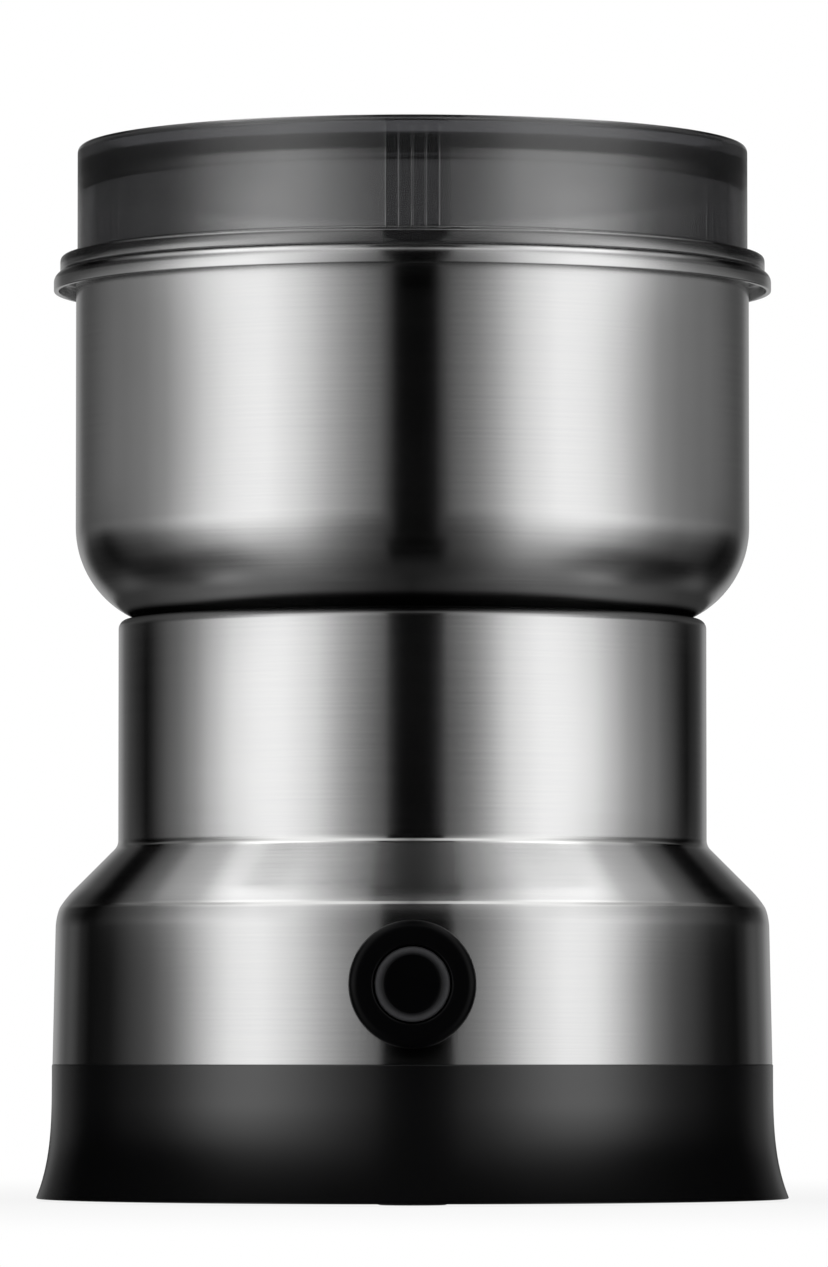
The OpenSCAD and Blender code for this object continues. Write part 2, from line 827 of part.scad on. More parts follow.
module blade_bush() {
    foot_z = seal_top_z + bush_gap;
    color(black_plastic) difference() {
        translate([0, 0, foot_z]) cylinder(r1 = bush_foot_r, r2 = bush_top_r, h = blade_z - foot_z);
        rod(shaft_r + press_fit, foot_z - past, blade_z + past);
    }
}

// Tip of one leaf, bent about the fold line by turn, with one ground edge
module blade_tip(turn) {
    fold_x = blade_span / 2 - blade_tip_l;
    tip_w = blade_w - 2 * blade_step;
    translate([fold_x, 0, 0]) rotate([0, turn, 0]) difference() {
        translate([-blade_t / 2, 0, 0]) linear_extrude(blade_t) intersection() {
            translate([0, -tip_w / 2]) square([blade_tip_l + blade_t / 2, tip_w]);
            translate([blade_tip_l - blade_w, 0]) circle(r = blade_w);
        }
        translate([blade_t, tip_w / 2 - blade_edge_w, blade_t]) rotate([-blade_grind, 0, 0])
            cube([2 * blade_tip_l, 2 * blade_edge_w, blade_t]);
    }
}

module blade() {
    fold_x = blade_span / 2 - blade_tip_l;
    color(steel) translate([0, 0, blade_z]) difference() {
        union() {
            linear_extrude(blade_t) {
                circle(r = blade_hub_r);
                ring_of(4, 0, 45) translate([0, -blade_w / 2]) square([fold_x, blade_w]);
            }
            for (i = [0:3]) rotate([0, 0, 45 + 90 * i]) blade_tip(i % 2 == 0 ? blade_bend : -blade_bend);
        }
        translate([0, 0, -past]) cylinder(r = shaft_end_r + press_fit, h = blade_t + 2 * past);
    }
}

module blade_washer() {
    color(zinc) tube(blade_washer_r, shaft_end_r + press_fit, blade_z + blade_t, nut_z);
}

module blade_nut() {
    color(zinc) difference() {
        union() {
            translate([0, 0, nut_z]) cylinder(r = blade_nut_r, h = blade_nut_h, $fn = 6);
            translate([0, 0, nut_z + blade_nut_h]) cylinder(r1 = dome_r, r2 = dome_r - dome_h, h = dome_h);
        }
        rod(shaft_end_r + press_fit, nut_z - past, nut_z + blade_nut_h);
    }
}

module button_bezel() {
    color(black_plastic) on_button() difference() {
        union() {
            bezel_ring();
            cylinder_from(barrel_r, bezel_round, back_t1);
        }
        translate([0, 0, -past]) cylinder(r = cap_r + play, h = shoulder_t0 + past);
        cylinder(r = stem_r + loose, h = back_t1);
        cylinder_from(bridge_r + loose, shoulder_t1, back_t1 + past);
        cylinder_from(barrel_r - back_wall, back_t0, back_t1 + past);
    }
}

module cylinder_from(radius, t0, t1) {
    translate([0, 0, t0]) cylinder(r = radius, h = t1 - t0);
}

// Round-edged ring whose back is hollowed to lie on the casing
module bezel_ring() {
    difference() {
        rotate_extrude() polygon(concat(
            [[0, 0]],
            arc(bezel_r - bezel_round, bezel_round, bezel_round, -90, 0, 5),
            [[bezel_r, saddle_t1], [0, saddle_t1]]
        ));
        rotate([90, 0, 0]) translate([0, bezel_front, -button_z]) casing_solid(bezel_seat);
    }
}

module button_cap() {
    skirt_t = shoulder_t0 - button_travel - 2 * loose;
    bead_r = cap_r - cap_round - cap_bead;
    color(black_plastic) on_button() rotate_extrude() polygon(concat(
        [[0, cap_sink + cap_dish], [bead_r - cap_bead, cap_sink + cap_dish], [bead_r, cap_sink]],
        arc(cap_r - cap_round, cap_sink + cap_round, cap_round, -90, 0, 3),
        [[cap_r, skirt_t], [cap_r - cap_side, skirt_t], [cap_r - cap_side, cap_wall], [stem_r, cap_wall],
         [stem_r, bridge_t0 + bridge_h], [0, bridge_t0 + bridge_h]]
    ));
}

module button_spring() {
    color(steel) on_button()
        tube(cap_r - cap_side - loose, stem_r + loose, cap_wall + play, shoulder_t0 - play);
}

module contact_bridge() {
    color(brass) on_button() tube(bridge_r, stem_r + press_fit, bridge_t0, bridge_t0 + bridge_h);
}

module switch_back() {
    color(black_plastic) on_button() difference() {
        cylinder_from(barrel_r - back_wall - press_fit, back_t0, back_t1);
        ring_of(2, contact_x) cylinder(r = contact_r + press_fit, h = back_t1 + past);
    }
}

module switch_terminals() {
    color(brass) on_button() ring_of(2, contact_x) {
        cylinder_from(contact_r, contact_t, back_t1 + tab_t);
        block(-tab_t / 2, tab_t / 2, -tab_w / 2, tab_w / 2, back_t1, back_t1 + tab_l);
    }
}

// Washer whose front is rounded to lie against the inside of the casing
module switch_washer() {
    color(black_plastic) intersection() {
        on_button() tube(saddle_r, barrel_r + play, 0, saddle_t1);
        casing_solid(-sheet_t - bezel_seat);
    }
}

module switch_nut() {
    color(zinc) on_button() hex_nut(barrel_nut_r, barrel_r + press_fit, saddle_t1, saddle_t1 + barrel_nut_h);
}

lid();
grinding_bowl();
bowl_studs();
bowl_nuts();
shaft_seal();
body_shell();
base();
rubber_feet();
base_screws();
cord_grommet();
motor_chassis();
motor_dampers();
motor_screws();
upper_bracket();
upper_bearing();
lower_bracket();
lower_bearing();
motor_bolts();
bolt_nuts();
stator_core();
field_coil_left();
field_coil_right();
brush_insulators();
brush_holders();
carbon_brushes();
brush_springs();
armature_shaft();
armature_core();
armature_winding();
commutator();
thrust_washers();
cooling_fan();
fan_clip();
blade_bush();
blade();
blade_washer();
blade_nut();
button_bezel();
button_cap();
button_spring();
contact_bridge();
switch_back();
switch_terminals();
switch_washer();
switch_nut();
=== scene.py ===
# %% [markdown]
# # An electric coffee grinder, dressed for the camera
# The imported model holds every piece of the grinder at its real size. This lesson puts finer surfaces over
# the pieces that show, gives each material its own finish, and lights the steel as a product photographer
# would. Lengths in the cells are millimetres, and `MM` turns them into Blender's metres.

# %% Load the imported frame
import json

import bmesh
import bpy
import numpy as np
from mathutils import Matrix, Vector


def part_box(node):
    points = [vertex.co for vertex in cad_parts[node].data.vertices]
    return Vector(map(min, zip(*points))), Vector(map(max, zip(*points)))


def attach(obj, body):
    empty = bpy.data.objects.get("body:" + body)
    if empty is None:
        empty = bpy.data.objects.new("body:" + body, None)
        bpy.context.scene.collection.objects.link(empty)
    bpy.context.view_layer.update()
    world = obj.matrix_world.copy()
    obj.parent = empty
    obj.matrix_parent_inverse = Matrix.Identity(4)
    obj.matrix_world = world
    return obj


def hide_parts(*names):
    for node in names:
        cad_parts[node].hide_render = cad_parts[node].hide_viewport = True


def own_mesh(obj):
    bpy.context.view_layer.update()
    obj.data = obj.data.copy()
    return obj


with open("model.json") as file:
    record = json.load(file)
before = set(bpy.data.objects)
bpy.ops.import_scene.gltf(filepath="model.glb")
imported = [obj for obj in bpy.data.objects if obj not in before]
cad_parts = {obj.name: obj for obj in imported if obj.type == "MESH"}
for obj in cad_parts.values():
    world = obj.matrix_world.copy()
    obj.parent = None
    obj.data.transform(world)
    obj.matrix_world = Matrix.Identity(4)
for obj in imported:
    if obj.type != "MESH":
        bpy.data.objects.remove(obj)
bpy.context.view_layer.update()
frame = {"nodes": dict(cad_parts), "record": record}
MM = 0.001

# %% [markdown]
# ## From numbers to a surface
# Nearly everything here was turned, drawn or moulded round an axis, so its shape is a profile carried
# round a circle. Blender's Spin or Screw tools could do that, but a numpy grid lets a formula bend the
# surface on its way round, which the grip ribs and the saddle of the button need.

# %% Profiles and grids
SAME = 1e-7  # points nearer than this, in metres, are one


def arc(r, z, radius, start, stop, count=8):
    """Points at (r + radius cos a, z + radius sin a), for a from start to stop degrees."""
    a = np.radians(np.linspace(start, stop, count + 1))
    return np.column_stack((r + radius * np.cos(a), z + radius * np.sin(a)))


def outline(*runs):
    """Joins points and arcs, in mm, into one profile in metres without repeated points."""
    points = np.vstack([np.atleast_2d(run) for run in runs]) * MM
    apart = np.linalg.norm(np.diff(points, axis=0), axis=1) > SAME
    return points[np.append(True, apart)]


def round_axis(r, angles, z):
    """Points round the Z axis: (r cos a, r sin a, z)."""
    r, a, z = np.broadcast_arrays(r, angles, z)
    return np.stack((r * np.cos(a), r * np.sin(a), z), axis=-1)


def turned(profile, angles, bulge=0.0):
    """Surface of revolution: (r, z) becomes ((r + bulge) cos a, (r + bulge) sin a, z)."""
    return round_axis(profile[:, :1] + bulge, angles, profile[:, 1:])


def full_turn(count):
    """Evenly spaced angles round a circle, without the repeated last one."""
    return np.linspace(0, 2 * np.pi, count, endpoint=False)


ROUND = full_turn(360)
print("a full turn has", len(ROUND), "steps")

# %% [markdown]
# ## From a surface to a piece
# A grid becomes a mesh by joining each point to its neighbours, with the last column joined to the first
# so that the seam is closed. Rows that shrink to the axis are merged into one pole. The UV map stores how
# far round and how far along the profile a point lies, so that brush marks can follow the metal.

# %% Meshes and pieces
SHARP = 32.0
pieces = []


def mesh_of(name, grids, loop, closed=True):
    """Mesh over grids of points: columns wrap round if closed, and rows too where the profile is a loop."""
    points, quads, uvs = [], [], []
    start = 0
    for grid in grids:
        n, m, _ = grid.shape
        i, j = np.meshgrid(np.arange(n if loop else n - 1), np.arange(m if closed else m - 1), indexing="ij")
        corner_i = np.stack((i, i, i + 1, i + 1), axis=-1)
        corner_j = np.stack((j, j + 1, j + 1, j), axis=-1)
        quads.append(start + (corner_i % n) * m + corner_j % m)
        steps = np.linalg.norm(np.diff(grid, axis=0, append=grid[:1]), axis=2).mean(axis=1)
        run = np.append(0.0, np.cumsum(steps))
        uvs.append(np.stack((corner_j / m, run[corner_i]), axis=-1))
        points.append(grid.reshape(-1, 3))
        start += n * m
    mesh = bpy.data.meshes.new(name)
    mesh.from_pydata(np.vstack(points), [], np.vstack([q.reshape(-1, 4) for q in quads]).tolist())
    layer = mesh.uv_layers.new(name="along")
    layer.data.foreach_set("uv", np.concatenate([uv.ravel() for uv in uvs]))
    return mesh


def tidy(mesh, sharp=SHARP):
    """Merges poles and seams, points every face outwards and keeps edges past sharp degrees crisp."""
    bm = bmesh.new()
    bm.from_mesh(mesh)
    bmesh.ops.remove_doubles(bm, verts=bm.verts, dist=SAME)
    bmesh.ops.recalc_face_normals(bm, faces=bm.faces)
    bm.to_mesh(mesh)
    bm.free()
    mesh.shade_smooth()
    mesh.set_sharp_from_angle(angle=np.radians(sharp))


def placed(name, data):
    """Puts new data into the scene as an object at the origin."""
    made = bpy.data.objects.new(name, data)
    bpy.context.scene.collection.objects.link(made)
    return made


def piece(name, body, slot, grids, loop=True, sharp=SHARP):
    """Makes one piece from grids: it replaces the CAD node of its name, on a body and with a material slot."""
    mesh = mesh_of(name, grids, loop)
    tidy(mesh, sharp)
    made = placed(name + "_skin", mesh)
    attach(made, body)
    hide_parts(name)
    pieces.append((made, slot))
    print(made.name, "has", len(mesh.polygons), "faces")
    return made


def drilled(made, cores):
    """Cuts closed shapes out of a piece, and leaves the result as its plain mesh."""
    cutter_mesh = mesh_of("cores", cores, loop=False)
    tidy(cutter_mesh)
    cutter = placed("cutter", cutter_mesh)
    cut = made.modifiers.new("holes", "BOOLEAN")
    cut.operation = "DIFFERENCE"
    cut.solver = "EXACT"
    cut.object = cutter
    graph = bpy.context.evaluated_depsgraph_get()
    mesh = bpy.data.meshes.new_from_object(made.evaluated_get(graph))
    made.modifiers.remove(cut)
    made.data = mesh
    bpy.data.objects.remove(cutter)
    tidy(mesh)
    print(made.name, "drilled:", len(mesh.polygons), "faces")

# %% [markdown]
# ## Soft corners
# No real corner is perfectly sharp: a pressed sheet bends round a radius and a mould is polished. A Bevel
# modifier would round every edge alike, so each profile rounds its own corners with a short curve instead,
# as wide as that corner is on the real piece.

# %% Rounding a corner of a profile
MOST = 0.9  # a curve takes up at most this share of a straight side


def eased(a, p, b, reach, count=6):
    """Rounds corner p between a and b: the curve (1-t)^2 s + 2t(1-t) p + t^2 e, with s and e reach from p."""
    a, p, b = (np.array(point, float) for point in (a, p, b))
    s = p + (a - p) * min(reach / np.linalg.norm(a - p), MOST)
    e = p + (b - p) * min(reach / np.linalg.norm(b - p), MOST)
    t = np.linspace(0, 1, count + 1)[:, None]
    return (1 - t) ** 2 * s + 2 * t * (1 - t) * p + t**2 * e


def softened(*corners, count=6):
    """A chain of corners (r, z, reach), each rounded by its own reach; the two ends stay as they are."""
    points = [corner[:2] for corner in corners]
    inner = [eased(*points[k - 1:k + 2], corners[k][2], count) for k in range(1, len(points) - 1)]
    return np.vstack([points[:1], *inner, points[-1:]])


def box_mm(node):
    """Lowest and highest corner of a CAD node, in mm."""
    return [np.array(corner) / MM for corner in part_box(node)]


SHEET = 0.8
print("steel sheet:", SHEET, "mm")

# %% [markdown]
# ## The grinding bowl
# The bowl is drawn from one disc of stainless sheet: a flat floor, a generous corner and a straight wall,
# whose rim is rolled out and turned down so that nobody meets a raw edge. Both faces of the sheet are in
# one closed profile, because the inside shows as soon as the lid is lifted.

# %% Grinding bowl
LIP_W = 3.5
LIP_H = 3.1
LIP_CROWN = 1.6
LIP_ROUND = 0.3
RIM_BEND = 1.2
BOWL_CORNER = 15.6
BOWL_HOLE = 9.0
bowl_low, bowl_high = box_mm("grinding_bowl")
floor_z = bowl_low[2] + SHEET
rim_z = bowl_high[2]
lip_r = bowl_high[0]
bowl_r = lip_r - LIP_W
corner_r, corner_z = bowl_r - BOWL_CORNER, bowl_low[2] + BOWL_CORNER
bend_r, bend_z = bowl_r - SHEET + RIM_BEND, rim_z - RIM_BEND
crown_r, crown_z = lip_r - LIP_CROWN, rim_z - LIP_CROWN
bowl_profile = outline(
    (BOWL_HOLE, floor_z),
    arc(corner_r, corner_z, BOWL_CORNER - SHEET, -90, 0, 32),
    arc(bend_r, bend_z, RIM_BEND, 180, 90),
    arc(crown_r, crown_z, LIP_CROWN, 90, 0, 10),
    softened((lip_r, crown_z), (lip_r, rim_z - LIP_H, LIP_ROUND), (lip_r - SHEET, rim_z - LIP_H, LIP_ROUND),
             (lip_r - SHEET, crown_z)),
    arc(crown_r, crown_z, LIP_CROWN - SHEET, 0, 90),
    arc(bend_r, bend_z, RIM_BEND - SHEET, 90, 180),
    arc(corner_r, corner_z, BOWL_CORNER, 0, -90, 32),
    (BOWL_HOLE, bowl_low[2]),
)
piece("grinding_bowl", "housing", "brushed_stainless", [turned(bowl_profile, ROUND)])

# %% [markdown]
# ## The casing
# The casing is spun from the same sheet: a skirt, a bend that ends in a crisp crease, a brow, a cone at
# 45 degrees and a straight neck with its top edge turned in. The creases are only a millimetre wide, but
# each catches a thin line of light all the way round, so they are rounded and not left as folds. The
# steel's finish also paints a lighter tone along them as a highlight line.

# %% Casing
SKIRT_H = 21.0
SKIRT_TAPER = 0.45
SKIRT_BEND = 10.0
BROW = 16.0
CREASE_TURN, BROW_TURN, CONE_TURN = 20.0, 32.0, 45.0
NECK_R = 46.15
NECK_EDGE = 1.5
CREASE_REACH = 0.5
FOLD_REACH = 0.9
shell_low, shell_high = box_mm("body_shell")
base_top, neck_top = shell_low[2], shell_high[2]
skirt_r = shell_high[0]
bend_axis = np.array((skirt_r - SKIRT_TAPER - SKIRT_BEND, base_top + SKIRT_H))
skirt_bend = arc(*bend_axis, SKIRT_BEND, 0, CREASE_TURN, 12)
crease = skirt_bend[-1]
brow_axis = crease - arc(0, 0, BROW, BROW_TURN, BROW_TURN, 0)[0]
brow = arc(*brow_axis, BROW, BROW_TURN, CONE_TURN, 10)[1:]
neck_foot = np.array((NECK_R, brow[-1, 1] + (brow[-1, 0] - NECK_R) / np.tan(np.radians(CONE_TURN))))
edge_axis = (NECK_R - NECK_EDGE, neck_top - NECK_EDGE)
casing_side = np.vstack([
    [(skirt_r, base_top)],
    skirt_bend[:-1],
    eased(skirt_bend[-2], crease, brow[0], CREASE_REACH),
    brow,
    eased(brow[-1], neck_foot, (NECK_R, neck_top), FOLD_REACH),
])
print("crease at", crease.round(2), "neck foot at", neck_foot.round(2))

# %% Casing mesh with its hole for the button
EDGE_IN = 44.0
BARREL_R = 7.9
HOLE_PLAY = 0.2
HOLE_FROM, HOLE_TO = -2, 12
bezel_low, bezel_high = box_mm("button_bezel")
button_z = (bezel_low[2] + bezel_high[2]) / 2
bezel_front = -bezel_low[1]
shell_profile = outline(
    casing_side,
    arc(*edge_axis, NECK_EDGE, 0, 90),
    (EDGE_IN, neck_top),
    (EDGE_IN, neck_top - SHEET),
    arc(*edge_axis, NECK_EDGE - SHEET, 90, 0),
    casing_side[::-1] - (SHEET, 0),
)


def along_button(grid):
    """Lays a shape made along +Z on the button's axis: height above its base becomes depth from the front."""
    x, y, z = np.moveaxis(grid, -1, 0)
    return np.stack((x, z - bezel_front * MM, y + button_z * MM), axis=-1)


hole_r = BARREL_R + HOLE_PLAY
button_hole = outline((0, HOLE_FROM), (hole_r, HOLE_FROM), (hole_r, HOLE_TO), (0, HOLE_TO))
shell = piece("body_shell", "housing", "brushed_stainless", [turned(shell_profile, ROUND)])
drilled(shell, [along_button(turned(button_hole, full_turn(96)))])

# %% [markdown]
# ## The lid
# The lid is one moulding of smoke-tinted plastic: a skirt that drops into the bowl, a flange on the rim, a
# wall with a raised edge and a sunk panel. Groups of five upright ribs give the fingers a grip. Ribs could
# be separate rods, but in a moulding they are one skin with the wall, so they are a bulge of its radius.

# %% Lid profile, from the middle of the panel's underside round to its top
LID_SKIRT_W = 2.2
LID_WALL = 2.2
LID_SKIRT_GAP = 0.5
LID_INSET = 0.2
FLANGE_T = 2.5
FLANGE_INSET = 1.0
EDGE_W = 3.2
PANEL_DROP = 3.1
PANEL_T = 2.4
RIB_END = 1.3
RIB_FADE = 0.6
lid_low, lid_high = box_mm("lid")
lid_r = bowl_r - LID_INSET
flange_r = lip_r - FLANGE_INSET
flange_top = rim_z + FLANGE_T
lid_top = lid_high[2]
rib_top = lid_top - RIB_END
panel_top = lid_top - PANEL_DROP
panel_low = panel_top - PANEL_T
skirt_out = bowl_r - SHEET - LID_SKIRT_GAP
skirt_in = skirt_out - LID_SKIRT_W
lid_profile = outline(softened(
    (0, panel_low), (lid_r - LID_WALL, panel_low, 2.2), (lid_r - LID_WALL, flange_top, 0.6),
    (skirt_in, rim_z, 0.6), (skirt_in, lid_low[2], 0.7), (skirt_out, lid_low[2], 0.7), (skirt_out, rim_z, 0.3),
    (flange_r, rim_z, 0.35), (flange_r, flange_top, 0.9), (lid_r, flange_top, 0.5),
    (lid_r, rib_top - RIB_FADE, 0), (lid_r, rib_top - RIB_FADE / 2, 0), (lid_r, rib_top, 0),
    (lid_r, lid_top, 1.2), (lid_r - EDGE_W, lid_top, 0.6), (lid_r - EDGE_W, panel_top, 0.7), (0, panel_top)))
print("lid profile has", len(lid_profile), "points")

# %% Lid with its grip ribs
RIB_W = 0.26
RIB_RISE = 0.03
RIB_PITCH = 2.0
RIB_COUNT = 5
RIB_TURNS = np.radians((-90, -26, 26, 90, 154, 206))
ON_WALL = 0.01  # a row this near the wall's radius is on the wall
rib_step = RIB_PITCH / lid_r
rib_places = (RIB_TURNS[:, None] + rib_step * (np.arange(RIB_COUNT) - (RIB_COUNT - 1) / 2)).ravel()
rib_angles = rib_places[:, None] + np.linspace(-RIB_W, RIB_W, 17) / lid_r
lid_angles = np.unique(np.mod(np.append(rib_angles.ravel(), full_turn(180)), 2 * np.pi).round(6))
off_rib = np.abs(np.mod(lid_angles[:, None] - rib_places + np.pi, 2 * np.pi) - np.pi).min(axis=1) * lid_r
rib_rise = RIB_RISE * np.cos(np.pi / 2 * np.clip(off_rib / RIB_W, 0, 1)) ** 2
row_r, row_z = lid_profile.T / MM
on_wall = (row_r > lid_r - ON_WALL) & (row_z > flange_top - ON_WALL)
rib_share = on_wall * np.clip((rib_top - row_z) / RIB_FADE, 0, 1)
bulge = np.clip(lid_r + rib_rise * rib_share[:, None] - row_r[:, None], 0, None) * on_wall[:, None] * MM
lid = piece("lid", "lid", "smoke_plastic", [turned(lid_profile, lid_angles, bulge)], loop=False)
face_count = len(lid.data.polygons)
middles, normals = np.zeros(3 * face_count), np.zeros(3 * face_count)
lid.data.polygons.foreach_get("center", middles)
lid.data.polygons.foreach_get("normal", normals)
outward = (middles * normals).reshape(-1, 3)[:, :2].sum(axis=1) > 0
inside = lid.data.attributes.new("inside", "FLOAT", "FACE")
inside.data.foreach_set("value", (~outward).astype(np.float32))
print("lid has", len(rib_places), "ribs on", len(lid_angles), "columns, and", (~outward).sum(), "inner faces")

# %% [markdown]
# ## The base
# The base is a black moulding that flares towards the table, with its floor set up inside a thin lip. The
# flare is a power curve, flat against the casing and steep at the lip. Slots for the fan's air, holes for
# screws and feet, and the seat of the cord's grommet are cut with one Boolean, as a mould's cores would.

# %% Base profile
BASE_PROUD = 0.1
BASE_WALL = 3.0
FLARE_POWER = 3.5
FLARE_FROM, FLARE_TO = 0.8, 0.3
LIP_WALL, LIP_SLOPE = 2.4, 0.3
FLOOR_RISE = 2.2
FLOOR_T = 2.5
SPIGOT_GAP = 0.2
base_low, base_high = box_mm("base")
lip_z, base_r = base_low[2], base_high[0]
base_top_r = skirt_r + BASE_PROUD
base_in = base_top_r - BASE_WALL
floor_low = lip_z + FLOOR_RISE
floor_high = floor_low + FLOOR_T
spigot_r = skirt_r - SHEET - SPIGOT_GAP
lip_in = base_r - LIP_WALL


def flare(z):
    """Radius of the flare: the top radius plus the flare's width times (depth below the top)^power."""
    return base_top_r + (base_r - base_top_r) * ((base_top - z) / (base_top - lip_z)) ** FLARE_POWER


flare_z = np.linspace(lip_z + FLARE_FROM, base_top - FLARE_TO, 40)
base_profile = outline(
    softened((0, floor_low), (lip_in - LIP_SLOPE, floor_low, 1.0), (lip_in, lip_z, 0.3), (base_r, lip_z, 0.35),
             (flare(flare_z[0]), flare_z[0])),
    np.column_stack((flare(flare_z), flare_z)),
    softened((base_top_r, flare_z[-1]), (base_top_r, base_top, 0.25), (spigot_r, base_top, 0.2),
             (spigot_r, base_high[2], 0.5), (base_in, base_high[2], 0.5), (base_in, floor_high, 1.0),
             (0, floor_high)),
)
print("base flares from", base_top_r.round(2), "to", base_r.round(2), "mm")

# %% Cores that cut the base, as closed prisms
VENT_COUNT = 16
VENT_W = 3.0
VENT_L = 16.0
VENT_R = 12.0
SCREW_R = 40.0
POST_R, POST_FOOT, POST_BITE = 6.0, 8.5, 0.1
HEAD_HOLE_R, HEAD_HOLE_H = 3.6, 5.0
SHANK_HOLE_R = 2.2
FOOT_R, FOOT_STEM_R = 5.5, 2.0
CORE_OVER = 1  # cores go this far past the faces they cut


def circle(radius, x, turn, count=64):
    """Ring of points at (x + radius cos a, radius sin a), turned round the origin."""
    return turned_by(round_axis(radius, full_turn(count), 0)[:, :2] + (x, 0), turn)


def turned_by(ring, turn):
    """Points turned round the origin."""
    c, s = np.cos(turn), np.sin(turn)
    return ring @ np.array(((c, s), (-s, c)))


def prism(ring, z0, z1):
    """Closed prism as a grid: middle of the floor, ring at z0, ring at z1, middle of the top."""
    middle = np.broadcast_to(ring.mean(axis=0), ring.shape)
    rows = np.stack((middle, ring, ring, middle))
    heights = np.broadcast_to(np.array((z0, z0, z1, z1))[:, None, None], rows.shape[:2] + (1,))
    return np.concatenate((rows, heights), axis=2) * MM


vent_middle = VENT_R + VENT_L / 2
vent = circle(VENT_W / 2, vent_middle, 0)
vent[:, 0] += np.sign(vent[:, 0] - vent_middle) * (VENT_L - VENT_W) / 2
foot_high = box_mm("rubber_feet")[1]
foot_ring_r = foot_high[0] - FOOT_R
foot_turns = full_turn(4)
screw_turns = foot_turns + np.pi / 4
rings = [turned_by(vent, turn) for turn in full_turn(VENT_COUNT) + np.pi / VENT_COUNT]
rings += [circle(POST_R - POST_BITE, SCREW_R, turn) for turn in screw_turns]
rings += [circle(FOOT_STEM_R, foot_ring_r, turn) for turn in foot_turns]
cores = [prism(ring, lip_z - CORE_OVER, floor_high + CORE_OVER) for ring in rings]
print("cores:", len(cores))

# %% Base with its cores, screw posts and inlet collar
FLANGE_H = 2.0
INLET_HOLE_R = 4.5
INLET_SEAT_R = 6.5
INLET_PAD = 4.6
INLET_DEPTH = 13.8
COLLAR_R, COLLAR_SET = 8.0, 1.0
grommet_low, grommet_high = box_mm("cord_grommet")
inlet_face = grommet_high[1] - FLANGE_H
inlet_z = (grommet_low[2] + grommet_high[2]) / 2


def along_inlet(grid):
    """Lays a shape made along +Z on the axis of the cord's inlet, which points backwards."""
    x, y, z = np.moveaxis(grid, -1, 0)
    return np.stack((x, z + inlet_face * MM, inlet_z * MM - y), axis=-1)


def grown(made, grids):
    """Adds closed tubes to a piece's mesh."""
    bm = bmesh.new()
    bm.from_mesh(made.data)
    extra = mesh_of("extra", grids, loop=True)
    bm.from_mesh(extra)
    bm.to_mesh(made.data)
    bm.free()
    bpy.data.meshes.remove(extra)
    tidy(made.data)


inlet_core = outline((0, -INLET_DEPTH), (INLET_HOLE_R, -INLET_DEPTH), (INLET_HOLE_R, 0), (INLET_SEAT_R, 0),
                     (INLET_SEAT_R, INLET_PAD), (0, INLET_PAD))
base = piece("base", "housing", "black_abs", [turned(base_profile, ROUND)], loop=False)
drilled(base, cores + [along_inlet(turned(inlet_core, full_turn(64)))])
post_top = floor_high + POST_FOOT
head_top = floor_low + HEAD_HOLE_H
post = turned(outline((HEAD_HOLE_R, floor_low), (POST_R, floor_low), (POST_R, post_top), (SHANK_HOLE_R, post_top),
                      (SHANK_HOLE_R, head_top), (HEAD_HOLE_R, head_top)), full_turn(48))
collar = turned(outline((INLET_HOLE_R, -INLET_PAD), (COLLAR_R, -INLET_PAD), (COLLAR_R, -COLLAR_SET),
                        (INLET_HOLE_R, -COLLAR_SET)), full_turn(48))
grown(base, [post + place for place in round_axis(SCREW_R * MM, screw_turns, 0)] + [along_inlet(collar)])

# %% [markdown]
# ## Feet and grommet
# Four rubber feet plug into the floor by their stems, and a rubber grommet lines the cord's inlet at the
# back. Moulded rubber has soft rims and no sharp arris, so both are turned from well-rounded profiles.

# %% Rubber feet
foot_profile = outline(softened(
    (0, 0), (FOOT_R, 0, 0.7), (FOOT_R, floor_low, 0.3), (FOOT_STEM_R, floor_low, 0.1),
    (FOOT_STEM_R, foot_high[2], 0.6), (0, foot_high[2])))
foot = turned(foot_profile, full_turn(64))
foot_places = round_axis(foot_ring_r * MM, foot_turns, 0)
piece("rubber_feet", "housing", "black_rubber", [foot + place for place in foot_places], loop=False)

# %% Cord grommet
INLET_FLANGE_R = 6.2
INLET_BORE_R = 3.2
pad_end = -INLET_PAD - FLANGE_H
grommet_profile = outline(softened(
    (INLET_BORE_R, 0), (INLET_BORE_R, FLANGE_H, 0.7), (INLET_FLANGE_R, FLANGE_H, 0.8), (INLET_FLANGE_R, 0, 0.3),
    (INLET_HOLE_R, 0, 0.1), (INLET_HOLE_R, -INLET_PAD, 0.1), (INLET_FLANGE_R, -INLET_PAD, 0.3),
    (INLET_FLANGE_R, pad_end, 0.6), (INLET_BORE_R, pad_end, 0.4), (INLET_BORE_R, -INLET_PAD)))
piece("cord_grommet", "housing", "black_rubber", [along_inlet(turned(grommet_profile, full_turn(96)))])

# %% [markdown]
# ## The push button
# A glossy black ring sits on the casing's curve, so its back is a saddle: at every angle it is as deep as
# the round steel behind it. The ring's barrel goes through the casing to the switch. The cap in the middle
# has a soft bead round its edge and a dished face; the thin light ring round it is a painted highlight, a
# lighter grey band in its finish, helped by the bead.

# %% Ring and barrel of the button
BEZEL_R = 9.7
BEZEL_ROUND = 1.4
BEZEL_GAP = 0.05
CAP_BORE, BORE_TOP = 5.95, 2.0
BACK_T, BACK_WALL = 3.0, 1.5
SHOULDER_T0, SHOULDER_T1 = 9.0, 11.0
BRIDGE_BORE = 5.1
STEM_BORE = 2.6
barrel_end = bezel_high[1] + bezel_front
round_button = full_turn(160)


def casing_depth(radius, angles):
    """Depth of the casing's skin behind the ring's front: front minus sqrt(R(z)^2 - x^2)."""
    x, z = radius * np.cos(angles), button_z + radius * np.sin(angles)
    skin_r = skirt_r - SKIRT_TAPER * (z - base_top) / SKIRT_H + BEZEL_GAP
    return bezel_front - np.sqrt(skin_r**2 - x**2)


